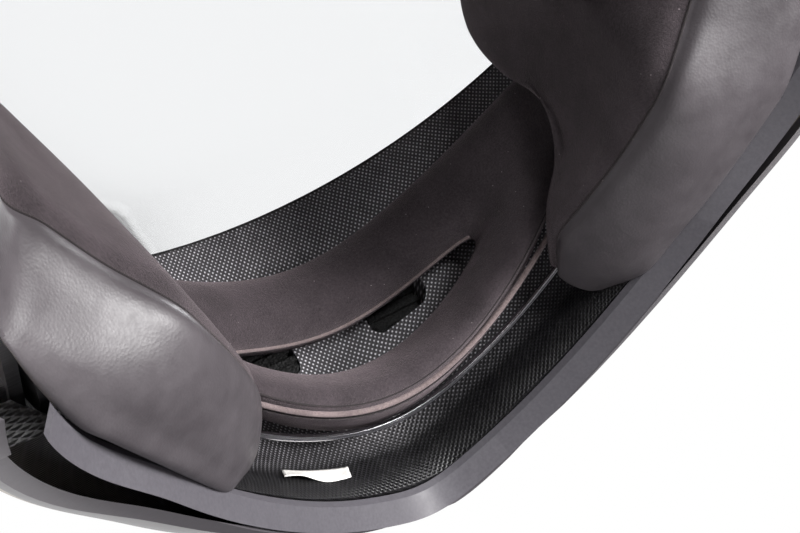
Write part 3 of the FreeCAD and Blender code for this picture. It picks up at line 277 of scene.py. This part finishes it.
def metal(name, code, rough, depth=0.00002):
    """Drawn or brushed metal with fine lines along X."""
    made, tree, shader = surface(name, rough, 1.0)
    vector = node(tree, "TexCoord").outputs["Object"]
    stretched = node(tree, "VectorMath", {0: vector, 1: (40.0, 4000.0, 4000.0)},
                     operation="MULTIPLY").outputs[0]
    lines = node(tree, "TexNoise", {"Vector": stretched, "Scale": 1.0, "Detail": 3.0}).outputs["Fac"]
    tint = ramp(tree, lines, [(0.3, code), (0.8, "#d8d8dc")])
    finish(tree, shader, tint, bump(tree, lines, depth))
    return made


def clear_sheet():
    """Hard-coated clear polycarbonate."""
    made = bpy.data.materials.new("clear_polycarbonate")
    made.use_nodes = True
    tree = made.node_tree
    tree.nodes.remove(tree.nodes["Principled BSDF"])
    ripple = bump(tree, noise(tree, 0.02, 1.0), 0.00003)
    through = node(tree, "BsdfTransparent", {"Color": (0.97, 0.975, 0.98, 1.0)})
    shine = node(tree, "BsdfGlossy", {"Color": (1.0, 1.0, 1.0, 1.0), "Roughness": 0.03,
                                      "Normal": ripple})
    edge = node(tree, "Fresnel", {"IOR": 1.45, "Normal": ripple}).outputs[0]
    both = node(tree, "MixShader", {0: maths(tree, "MULTIPLY", edge, 0.8), 1: through.outputs[0],
                                    2: shine.outputs[0]})
    tree.links.new(both.outputs[0], tree.nodes["Material Output"].inputs["Surface"])
    return made


def plain_paper():
    made, tree, shader = surface("bare_woven_label", 0.8)
    tint = ramp(tree, noise(tree, 0.0005, 4.0), [(0.3, "#dcdad6"), (0.7, "#f0eeea")])
    finish(tree, shader, tint, bump(tree, noise(tree, 0.0003, 3.0), 0.00008))
    return made


PAINT = shell_lacquer()
GRID = grid_liner()
SUEDE = suede()
# Painted highlight: the welt and piping round the chin ring are coloured far lighter than the suede,
# standing in for light along their rounded edges.
HIGHLIT_SUEDE_EDGE = suede("suede_piping_painted_highlight", "#857776", "#5a4f4f")
LEATHER = leather()
KNIT = knit()
WEB = webbing()
BEADS = foam("expanded_bead_foam", "#2b2b2d", "#151516", 0.0035, 0.0004)
FILTER = foam("open_cell_filter_foam", "#151516", "#030303", 0.0009, 0.0004)
RIM = grain_plastic("satin_rim_moulding", "#525055", "#49474c", 0.46, 0.0003, 0.00002)
BLACK = grain_plastic("grained_black_moulding", "#2a2a2c", "#202022", 0.5)
RED = grain_plastic("grained_red_moulding", "#9c2b27", "#8a2421", 0.45)
GREY = grain_plastic("grained_grey_moulding", "#6a6a6d", "#5d5d60", 0.5)
RUBBER = grain_plastic("extruded_edge_rubber", "#1e1d1e", "#161616", 0.38, 0.0004, 0.00005)
STEEL = metal("brushed_steel_plate", "#a9a9ad", 0.32)
WIRE = metal("drawn_bright_wire", "#c9c9ce", 0.16)
CLEAR = clear_sheet()
PAPER = plain_paper()
THREAD = suede("sewing_thread", "#262122", "#151213")

FINISHES = {
    PAINT: ["outer_shell", "chin_bar_shell"],
    GRID: ["chin_bar_liner", "eyeport_lip_gasket"],
    RIM: ["chin_rim_trim"],
    BEADS: ["crown_liner", "cheek_block_left", "cheek_block_right"],
    BLACK: ["top_vent_housing", "top_vent_slider", "rear_exhaust", "chin_pad_clips",
            "chin_vent_slider", "chin_vent_rails", "visor_cover_left", "visor_cover_right",
            "cheek_carrier_left", "cheek_carrier_right"],
    RED: ["release_button", "buckle_lever"],
    GREY: ["toothed_strip"],
    RUBBER: ["brow_gasket", "neck_rim_trim"],
    WIRE: ["chin_pad_wire"],
    FILTER: ["vent_filter_left", "vent_filter_right"],
    CLEAR: ["visor_shield", "visor_tab"],
    STEEL: ["pivot_plate_left", "pivot_plate_right", "pivot_screw_left", "pivot_screw_right",
            "latch_pin_left", "latch_pin_right", "latch_catch_left", "latch_catch_right",
            "strap_rivet_left", "strap_rivet_right", "buckle_frame"],
}
for made, names in FINISHES.items():
    for name in names:
        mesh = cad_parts[name].data
        mesh.materials.clear()
        mesh.materials.append(made)


# ---- Making pieces --------------------------------------------------------------
def solid_mesh(name, vertices, faces):
    """Mesh whose faces all look outwards."""
    mesh = bpy.data.meshes.new(name)
    mesh.from_pydata(vertices, [], faces)
    work = bmesh.new()
    work.from_mesh(mesh)
    bmesh.ops.recalc_face_normals(work, faces=work.faces)
    work.to_mesh(mesh)
    work.free()
    return mesh


def add_object(name, mesh, body, slot, *materials):
    made = bpy.data.objects.new(name, mesh)
    bpy.context.scene.collection.objects.link(made)
    for material in materials:
        mesh.materials.append(material)
    mesh.polygons.foreach_set("use_smooth", [True] * len(mesh.polygons))
    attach(made, body)
    return made


def padded_mesh(source, voxel, rounds):
    """The CAD node's mesh rebuilt in even faces with rounded, pulled-in edges."""
    copy = bpy.data.objects.new("work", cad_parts[source].data.copy())
    bpy.context.scene.collection.objects.link(copy)
    remesh = copy.modifiers.new("remesh", "REMESH")
    remesh.mode = "VOXEL"
    remesh.voxel_size = voxel
    smooth = copy.modifiers.new("smooth", "SMOOTH")
    smooth.factor = 0.5
    smooth.iterations = rounds
    bpy.context.view_layer.update()
    graph = bpy.context.evaluated_depsgraph_get()
    mesh = bpy.data.meshes.new_from_object(copy.evaluated_get(graph))
    bpy.data.objects.remove(copy)
    mesh.materials.clear()
    return mesh


def get_points(mesh):
    flat = np.empty(len(mesh.vertices) * 3)
    mesh.vertices.foreach_get("co", flat)
    return flat.reshape(-1, 3)


def get_normals(mesh):
    flat = np.empty(len(mesh.vertices) * 3)
    mesh.vertices.foreach_get("normal", flat)
    return flat.reshape(-1, 3)


def set_points(mesh, points):
    mesh.vertices.foreach_set("co", points.reshape(-1))
    mesh.update()


def distance_to(points, line):
    """Distance from each point to the nearest of a dense row of points."""
    tree = KDTree(len(line))
    for i, spot in enumerate(line):
        tree.insert(spot, i)
    tree.balance()
    return np.array([tree.find(p)[2] for p in points])


def dense(line, step=0.001):
    """A polyline cut into short steps after rounding its corners."""
    points = [Vector(p) for p in line]
    found = []
    for i in range(len(points) - 1):
        a = points[max(0, i - 1)]
        b = points[i]
        c = points[i + 1]
        d = points[min(len(points) - 1, i + 2)]
        count = max(2, int((c - b).length / step))
        for k in range(count):
            t = k / count
            found.append(0.5 * ((2.0 * b) + (c - a) * t + (2.0 * a - 5.0 * b + 4.0 * c - d) * t * t
                                + (3.0 * b - a - 3.0 * c + d) * t ** 3))
    return found + [points[-1]]


def press(mesh, line, depth, width):
    """Pulls the cover in along a seam."""
    points = get_points(mesh)
    normals = get_normals(mesh)
    near = distance_to(points, line)
    set_points(mesh, points - normals * (depth * np.exp(-(near / width) ** 2))[:, None])


def on_surface(mesh, line, lift):
    """The line moved onto the mesh, then lift metres off it."""
    tree = BVHTree.FromPolygons([v.co for v in mesh.vertices],
                                [tuple(p.vertices) for p in mesh.polygons])
    moved = []
    for spot in line:
        hit, normal, index, away = tree.find_nearest(spot)
        moved.append(hit + normal * lift)
    return moved


def tube(name, line, radius, body, slot, material, sides=8):
    """Round cord of cloth or thread sewn along a line."""
    count = len(line)
    vertices = []
    faces = []
    side = Vector((0.0, 0.0, 1.0))
    for i, spot in enumerate(line):
        ahead = (line[min(count - 1, i + 1)] - line[max(0, i - 1)]).normalized()
        side = (side - ahead * side.dot(ahead)).normalized()
        other = ahead.cross(side)
        for k in range(sides):
            turn = 2.0 * math.pi * k / sides
            vertices.append(spot + radius * (math.cos(turn) * side + math.sin(turn) * other))
    for i in range(count - 1):
        for k in range(sides):
            a = i * sides + k
            b = i * sides + (k + 1) % sides
            faces.append((a, b, b + sides, a + sides))
    faces.append(tuple(range(sides))[::-1])
    faces.append(tuple((count - 1) * sides + k for k in range(sides)))
    mesh = bpy.data.meshes.new(name)
    mesh.from_pydata(vertices, [], faces)
    mesh.update()
    return add_object(name, mesh, body, slot, material)


# ---- Padded ring in the chin bar ------------------------------------------------
# Lines of the ring at X = 0 as (y, z) and their rise at 100 mm from the middle, millimetres.
RING_SEAM = (-112.5, 23.4, 38.0)
RING_TOP = (-116.6, 77.2, 6.0)
HOLE_LOW = (-121.6, 40.6, 30.0)
HOLE_HIGH = (-119.7, 55.4, 12.0)
RING_BACK_Y = -123.2
RING_HALF = 80.0
HOLE_HALF = 41.5
RING_FRONT = 8.2        # how far the padding swells past its edges
RING_AROUND = 168
RING_ACROSS = 30


def wrap(x):
    """How far the chin bar's inside has come back at x from the middle."""
    return math.hypot(1.21 * x, 55.06) - 55.06 + 28.6 * (x / 100.0) ** 4


def ring_line(line, x, out=0.0, lift=0.0):
    """Point of one of the ring's lines, moved out towards the wearer and up."""
    y, z, rise = line
    return Vector((x, y + wrap(x) + out, z + rise * (x / 100.0) ** 2 + lift)) * MM


def signed_power(value, power):
    return math.copysign(abs(value) ** power, value)


def ring_edge(turn, low, high, half, power):
    """Place on the ring's outer or inner outline, as (x, y, z) before it is wrapped."""
    x = half * signed_power(math.cos(turn), power)
    share = 0.5 + 0.5 * signed_power(math.sin(turn), power)
    y = low[0] + (high[0] - low[0]) * share
    below = low[1] + low[2] * (x / 100.0) ** 2
    above = high[1] + high[2] * (x / 100.0) ** 2
    return x, y, below + (above - below) * share


def ring_cushion():
    """Swollen ring between its outer seam and its long hole, closed at the back."""
    vertices = []
    faces = []
    fronts = [0.5 - 0.5 * math.cos(math.pi * i / RING_ACROSS) for i in range(RING_ACROSS + 1)]
    for i in range(RING_AROUND):
        turn = 2.0 * math.pi * i / RING_AROUND
        outer = ring_edge(turn, RING_SEAM, RING_TOP, RING_HALF, 0.75)
        inner = ring_edge(turn, HOLE_LOW, HOLE_HIGH, HOLE_HALF, 0.8)
        end = abs(math.cos(turn)) ** 3
        for share in fronts:
            x, y, z = (a + (b - a) * share for a, b in zip(outer, inner))
            swell = (1.0 - abs(2.0 * share - 1.0) ** 2.5) ** 0.5
            y += (RING_FRONT + 1.5 * end) * swell
            vertices.append(Vector((x, y + wrap(x), z)) * MM)
        for edge, share in ((inner, 0.02), (outer, 0.03)):
            x, y, z = (a + (b - a) * share for a, b in zip(edge, inner if edge is outer else outer))
            vertices.append(Vector((x, RING_BACK_Y + wrap(x), z)) * MM)
    rows = RING_ACROSS + 3
    for i in range(RING_AROUND):
        here = i * rows
        there = ((i + 1) % RING_AROUND) * rows
        for k in range(rows):
            n = (k + 1) % rows
            faces.append((here + k, here + n, there + n, there + k))
    return solid_mesh("padded_chin_ring", vertices, faces)


def ring_run(line, reach, out=0.0, lift=0.0, count=120):
    return [ring_line(line, reach * (2.0 * i / count - 1.0), out, lift) for i in range(count + 1)]


ring = ring_cushion()
chin_ring = add_object("padded_chin_ring", ring, "chin_bar", "suede_fabric", SUEDE)
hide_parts("chin_pad")
tube("chin_ring_seam", on_surface(ring, ring_run(RING_SEAM, 72.0, 2.0, 1.9), -0.0001), 0.00035,
     "chin_bar", "suede_fabric", THREAD)
tube("chin_ring_welt", ring_run(RING_SEAM, 73.0, 0.0, -0.5), 0.0008, "chin_bar", "suede_fabric",
     HIGHLIT_SUEDE_EDGE)
tube("chin_ring_under_seam", ring_run(RING_SEAM, 73.0, -2.2, -0.6), 0.0004, "chin_bar",
     "suede_fabric", THREAD)
hole_edge = []
for step in range(121):
    turn = math.pi * (0.06 + 0.88 * step / 120)
    x, y, z = ring_edge(turn, HOLE_LOW, HOLE_HIGH, HOLE_HALF, 0.8)
    hole_edge.append(Vector((x, y + wrap(x), z)) * MM)
tube("chin_ring_piping", hole_edge, 0.0006, "chin_bar", "suede_fabric", HIGHLIT_SUEDE_EDGE)
wire_low = ring_run((-121.2, 22.0, 18.0), 66.0)
tube("chin_ring_lower_wire", wire_low, 0.00045, "chin_bar", "bright_wire", WIRE)


# ---- Bare label ------------------------------------------------------------------
def bare_label():
    """Woven label with nothing on it, lying in the tray with a lifted edge."""
    columns = 24
    rows = 8
    first = Vector((43.0, -110.5, 17.4)) * MM
    last = Vector((23.0, -126.5, 14.6)) * MM
    away = Vector((-0.37, -0.73, 0.64)).normalized()
    height = 0.0102
    flat = []
    for j in range(rows + 1):
        for i in range(columns + 1):
            flat.append(first.lerp(last, i / columns) + away * (height * j / rows))
    laid = on_surface(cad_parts["chin_bar_liner"].data, flat, 0.0003)
    lifted = on_surface(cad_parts["chin_bar_liner"].data, flat, 0.0018)
    vertices = []
    for n, (low, high) in enumerate(zip(laid, lifted)):
        u = (n % (columns + 1)) / columns
        v = (n // (columns + 1)) / rows
        vertices.append(low.lerp(high, (1.0 - v) * (0.5 + 0.5 * math.sin(7.0 * u))))
    faces = []
    for j in range(rows):
        for i in range(columns):
            a = j * (columns + 1) + i
            faces.append((a, a + 1, a + columns + 2, a + columns + 1))
    mesh = bpy.data.meshes.new("bare_label")
    mesh.from_pydata(vertices, [], faces)
    label = add_object("bare_label", mesh, "chin_bar", "lining_fabric", PAPER)
    thick = label.modifiers.new("thickness", "SOLIDIFY")
    thick.thickness = 0.0002


bare_label()


# ---- Cheek pads -------------------------------------------------------------------
# Sections of the left pad from its front tip to its rear, millimetres. Each runs from
# the seam up the suede face, over the top, down the outside and back under in leather.
PAD_SECTIONS = [
    [(47, -87, 24), (48, -84, 29), (51, -80, 33), (55, -78, 34), (61, -82, 33), (65, -87, 26),
     (63, -91, 15), (56, -92, 15), (50, -90, 19)],
    [(46.3, -74, 26), (48.5, -70, 34), (53, -64, 39), (58, -60, 44), (69, -66, 46), (76, -73, 30),
     (68, -80.5, 9.5), (60, -80, 10), (51, -77, 17)],
    [(50, -60, 24), (54, -58, 36), (58, -56, 44), (62, -56, 62), (74, -60, 66), (84, -62, 42),
     (76, -67, 10.5), (66, -67, 8), (56, -63, 14)],
    [(55, -46.2, 22.4), (58, -48, 38), (62, -52, 58), (64, -66, 78), (76, -66, 92), (92, -50, 60),
     (85, -51, 12), (74, -51, 7.5), (62, -48.5, 12.5)],
    [(61.3, -31.3, 22.1), (63, -33, 42), (66, -44, 70), (67.5, -69, 98), (79, -62, 106),
     (97, -40, 70), (94, -36, 14), (83, -35, 8.5), (69, -33, 12)],
    [(67.2, -20, 24), (68, -21, 48), (70, -30, 80), (71, -56, 110), (84, -48, 112),
     (98, -25, 70), (99.5, -26.5, 15.5), (89, -24.5, 10), (75, -22, 15)],
    [(78.3, -9.1, 32.7), (77, -10, 54), (77, -14, 84), (78, -34, 113), (90, -30, 113),
     (98.3, -12, 50), (103.5, -15, 17), (95, -13, 14), (86, -10.5, 22)],
    [(86.8, 1.1, 40.3), (84, 0, 60), (83, -3, 88), (84, -10, 113), (94, -8, 113),
     (98.3, 0, 46), (106, -3, 18.5), (101, -1.5, 20), (94, 0, 29)],
    [(93, 8, 45), (89, 13, 62), (87, 14, 90), (87, 14, 112), (95, 14, 112), (98.3, 12, 40),
     (107.5, 7, 22), (103, 7, 26), (98, 7.5, 34)],
    [(94, 28, 47), (89, 30, 62), (87, 32, 88), (87, 32, 108), (95, 32, 108), (98.3, 29, 44),
     (106, 26, 28), (102, 26.5, 32), (98, 27, 39)],
    [(93, 42, 48), (90, 43, 60), (88, 44, 80), (88, 43, 94), (94, 43, 95), (98, 43, 60),
     (102, 42, 36), (99, 42, 38), (96, 42, 42)],
]
PAD_STEPS = 9           # faces between two points of a section
PAD_SEAM_WIDTH = 1.3


def spline(points, t):
    """Smooth curve through a row of points; t counts points and the row's ends hold."""
    last = len(points) - 1
    i = min(last - 1, max(0, int(t)))
    f = t - i
    a, b, c, d = (points[min(last, max(0, k))] for k in (i - 1, i, i + 1, i + 2))
    return 0.5 * (2 * b + (c - a) * f + (2 * a - 5 * b + 4 * c - d) * f ** 2
                  + (3 * b - a - 3 * c + d) * f ** 3)


def round_section(points, t):
    """The same through a closed row."""
    count = len(points)
    i = int(t) % count
    f = t - int(t)
    a, b, c, d = (points[k % count] for k in (i - 1, i, i + 1, i + 2))
    return 0.5 * (2 * b + (c - a) * f + (2 * a - 5 * b + 4 * c - d) * f ** 2
                  + (3 * b - a - 3 * c + d) * f ** 3)


def cheek_cushion(side):
    """Vertices, faces, leather faces and the seam's row of a cheek cushion."""
    rows = np.array(PAD_SECTIONS, float) * (side, 1.0, 1.0) * MM
    around = rows.shape[1] * PAD_STEPS
    stations = np.linspace(0.0, len(rows) - 1.0, 12 * (len(rows) - 1) + 1)
    seams = (0.0, 6.0)
    grid = []
    for t in stations:
        section = np.array([spline(rows[:, k], t) for k in range(rows.shape[1])])
        grid.append([round_section(section, u / PAD_STEPS) for u in range(around)])
    grid = np.array(grid)
    ahead = np.gradient(grid, axis=0)
    along = np.roll(grid, -1, 1) - np.roll(grid, 1, 1)
    out = np.cross(ahead, along) * side
    out /= np.linalg.norm(out, axis=2, keepdims=True)
    middle = grid.mean(axis=1, keepdims=True)
    if ((grid - middle) * out).sum() < 0:
        out = -out
    turn = np.arange(around) / PAD_STEPS
    for seam in seams:
        away = np.abs((turn - seam + 4.5) % 9.0 - 4.5) * 9.0
        grid -= out * (PAD_SEAM_WIDTH * MM * np.exp(-(away / 1.6) ** 2))[None, :, None]
    vertices = [Vector(p) for p in grid.reshape(-1, 3)]
    faces = []
    leather_faces = []
    for i in range(len(stations) - 1):
        for k in range(around):
            a = i * around + k
            b = i * around + (k + 1) % around
            faces.append((a, b, b + around, a + around))
            leather_faces.append(6 * PAD_STEPS <= k)
    for end, order in ((0, -1), (len(stations) - 1, 1)):
        ring_points = grid[end]
        centre = ring_points.mean(axis=0)
        tip = ring_points.mean(axis=0) + (centre - grid[1 if end == 0 else -2].mean(axis=0)) * 0.5
        base = len(vertices)
        shells = 4
        for level in range(1, shells):
            share = level / shells
            for point in ring_points:
                vertices.append(Vector(point * math.cos(share * math.pi / 2.0)
                                       + tip * (1.0 - math.cos(share * math.pi / 2.0))
                                       + (tip - centre) * math.sin(share * math.pi / 2.0)))
        vertices.append(Vector(tip + (tip - centre)))
        rings = [[end * around + k for k in range(around)]]
        rings += [[base + level * around + k for k in range(around)] for level in range(shells - 1)]
        for inner, outer in zip(rings, rings[1:]):
            for k in range(around):
                n = (k + 1) % around
                faces.append((inner[k], inner[n], outer[n], outer[k])[::order])
                leather_faces.append(6 * PAD_STEPS <= k or end == 0 and k > 2)
        for k in range(around):
            faces.append((rings[-1][k], rings[-1][(k + 1) % around], len(vertices) - 1)[::order])
            leather_faces.append(True)
    return vertices, faces, leather_faces, [Vector(p) for p in grid[:, 0]]


def cheek_piece(side, name):
    source = "cheek_pad_" + name
    vertices, faces, leather_faces, seam = cheek_cushion(side)
    mesh = solid_mesh("sewn_" + source, vertices, faces)
    pad = add_object("sewn_" + source, mesh, "helmet", "suede_fabric", SUEDE, LEATHER)
    mesh.polygons.foreach_set("material_index", [int(flag) for flag in leather_faces])
    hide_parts(source)
    line = [p + Vector((0.0, 0.0, 0.0002)) for p in dense(seam[4:], 0.0008)]
    tube("cheek_seam_" + name, line, 0.0004, "helmet", "lining_leather", THREAD)


cheek_piece(1, "left")
cheek_piece(-1, "right")


# ---- Crown lining and neck roll ----------------------------------------------------
crown = padded_mesh("crown_padding", 0.0034, 7)
seams = []
for x in (-38.0, 38.0):
    seams.append([(x, -115.0, 232.0), (x, -60.0, 222.0), (x, 0.0, 228.0), (x, 60.0, 222.0),
                  (x, 105.0, 185.0), (x, 120.0, 130.0), (x, 110.0, 90.0)])
for line in seams:
    track = on_surface(crown, dense([Vector(p) * MM for p in line], 0.003), 0.0)
    press(crown, track, 0.003, 0.005)
crown_piece = add_object("quilted_crown_lining", crown, "helmet", "lining_fabric", KNIT)
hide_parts("crown_padding")

neck = padded_mesh("neck_roll", 0.003, 8)
neck_piece = add_object("soft_neck_roll", neck, "helmet", "lining_leather", LEATHER)
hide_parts("neck_roll")


# ---- Chin strap ---------------------------------------------------------------------
# The strap as it is cut, hanging straight down, then swung back about its rivets.
STRAP_Y = 57.0
STRAP_ANCHOR_Z = 70.0
STRAP_SWING = math.radians(35.0)
STRAP_WIDTH = 20.0
STRAP_THICK = 2.2
STRAP_LINE = [(96.6, 79.0), (96.6, 58.0), (96.6, 40.0), (93.6, 31.0), (84.6, 24.0), (66.6, 19.0),
              (47.6, 15.0)]


def strap_ribbon(name, side, end_x):
    """Webbing with a thicker woven edge on each side."""
    line = dense([Vector((x, 0.0, z)) for x, z in STRAP_LINE + [(end_x, 15.0)]], 1.5)
    half = STRAP_WIDTH / 2.0
    section = []
    for i in range(13):
        across = half * (2.0 * i / 12 - 1.0)
        edge = max(0.0, abs(across) / half - 0.8) * 5.0
        section.append((across, STRAP_THICK / 2.0 * (0.82 + 0.18 * math.sin(math.pi * edge))
                        * math.sqrt(max(0.04, 1.0 - edge ** 6))))
    loop = section + [(a, -t) for a, t in section[::-1]]
    vertices = []
    for i, spot in enumerate(line):
        ahead = (line[min(len(line) - 1, i + 1)] - line[max(0, i - 1)]).normalized()
        normal = Vector((-ahead.z, 0.0, ahead.x))
        for across, thick in loop:
            point = spot + normal * thick
            down = point.z - STRAP_ANCHOR_Z
            y = STRAP_Y + across * math.cos(STRAP_SWING) - down * math.sin(STRAP_SWING)
            z = STRAP_ANCHOR_Z + across * math.sin(STRAP_SWING) + down * math.cos(STRAP_SWING)
            vertices.append(Vector((side * point.x, y, z)) * MM)
    count = len(loop)
    faces = []
    for i in range(len(line) - 1):
        for k in range(count):
            n = (k + 1) % count
            faces.append((i * count + k, i * count + n, (i + 1) * count + n, (i + 1) * count + k))
    faces.append(tuple(range(count))[::-1])
    faces.append(tuple((len(line) - 1) * count + k for k in range(count)))
    mesh = solid_mesh("woven_strap_" + name, vertices, faces)
    strap = add_object("woven_strap_" + name, mesh, "helmet", "webbing", WEB)
    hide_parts("chin_strap_" + name)


for name, side in (("left", 1.0), ("right", -1.0)):
    low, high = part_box("chin_strap_" + name)
    one_side = low[0] * high[0] > 0.0
    strap_ribbon(name, side, min(abs(low[0]), abs(high[0])) / MM if one_side else 0.0)


# ---- Stage, camera, light ------------------------------------------------------------
def look(position, forward, roll):
    """Camera matrix from a place, a direction and a roll round it."""
    ahead = Vector(forward).normalized()
    right = ahead.cross(Vector((0, 0, 1))).normalized()
    up = right.cross(ahead)
    across = math.cos(roll) * right + math.sin(roll) * up
    above = -math.sin(roll) * right + math.cos(roll) * up
    turn = Matrix((across, above, -ahead)).transposed().to_4x4()
    turn.translation = Vector(position)
    return turn


scene = bpy.context.scene
camera_data = bpy.data.cameras.new("camera")
camera_data.lens = 66.7
camera_data.sensor_width = 36.0
camera_data.clip_start = 0.01
camera = bpy.data.objects.new("camera", camera_data)
scene.collection.objects.link(camera)
CAMERA_PLACE = Vector((147.45, 237.31, -138.33)) * MM
CAMERA_TARGET = Vector((14.16, -36.09, 17.47)) * MM
camera.matrix_world = look(CAMERA_PLACE, CAMERA_TARGET - CAMERA_PLACE, -0.6686)
scene.camera = camera


def backdrop():
    """White seen by the camera, in mirrors and through clear pieces; soft grey light elsewhere."""
    world = bpy.data.worlds.new("world")
    scene.world = world
    world.use_nodes = True
    tree = world.node_tree
    rays = node(tree, "LightPath")
    seen = maths(tree, "MAXIMUM", rays.outputs["Is Camera Ray"], rays.outputs["Is Transmission Ray"])
    seen = maths(tree, "MAXIMUM", seen, rays.outputs["Is Glossy Ray"])
    light = node(tree, "Background", {"Color": (1.0, 0.99, 0.985, 1.0), "Strength": 0.30})
    white = node(tree, "Background", {"Color": (1.0, 1.0, 1.0, 1.0), "Strength": 1.0})
    both = node(tree, "MixShader", {0: seen, 1: light.outputs[0], 2: white.outputs[0]})
    tree.links.new(both.outputs[0], tree.nodes["World Output"].inputs["Surface"])


def floor_plane():
    """White table that is only seen from above."""
    mesh = bpy.data.meshes.new("floor")
    size = 6.0
    mesh.from_pydata([(-size, -size, 0), (size, -size, 0), (size, size, 0), (-size, size, 0)], [],
                     [(0, 1, 2, 3)])
    made = bpy.data.objects.new("floor", mesh)
    scene.collection.objects.link(made)
    material = bpy.data.materials.new("white_table")
    material.use_nodes = True
    tree = material.node_tree
    tree.nodes.remove(tree.nodes["Principled BSDF"])
    paint = node(tree, "BsdfDiffuse", {"Color": (0.9, 0.9, 0.9, 1.0)})
    through = node(tree, "BsdfTransparent")
    behind = node(tree, "NewGeometry").outputs["Backfacing"]
    both = node(tree, "MixShader", {0: behind, 1: paint.outputs[0], 2: through.outputs[0]})
    tree.links.new(both.outputs[0], tree.nodes["Material Output"].inputs["Surface"])
    mesh.materials.append(material)
    made.visible_shadow = False


def lamp(name, place, target, size, watts, tint=(1.0, 1.0, 1.0)):
    data = bpy.data.lights.new(name, "AREA")
    data.shape = "DISK"
    data.size = size
    data.energy = watts
    data.color = tint
    made = bpy.data.objects.new(name, data)
    made.location = place
    made.rotation_euler = (Vector(target) - Vector(place)).to_track_quat("-Z", "Y").to_euler()
    scene.collection.objects.link(made)


backdrop()
floor_plane()
lamp("key", (0.75, 0.55, 0.9), (0.0, 0.0, 0.13), 0.6, 20.0)
lamp("fill", (-0.9, -0.8, 0.7), (0.0, 0.0, 0.13), 0.8, 9.0)
lamp("window", (-0.50, 0.42, -0.34), (0.05, -0.06, 0.03), 0.34, 13.0, (1.0, 0.985, 0.985))
lamp("doorway", (-0.12, 0.75, -0.16), (0.02, -0.12, 0.08), 0.3, 7.0)
lamp("under_fill", (0.35, 0.1, -0.6), (0.0, -0.08, 0.04), 0.5, 2.2)

scene.view_settings.view_transform = "Standard"
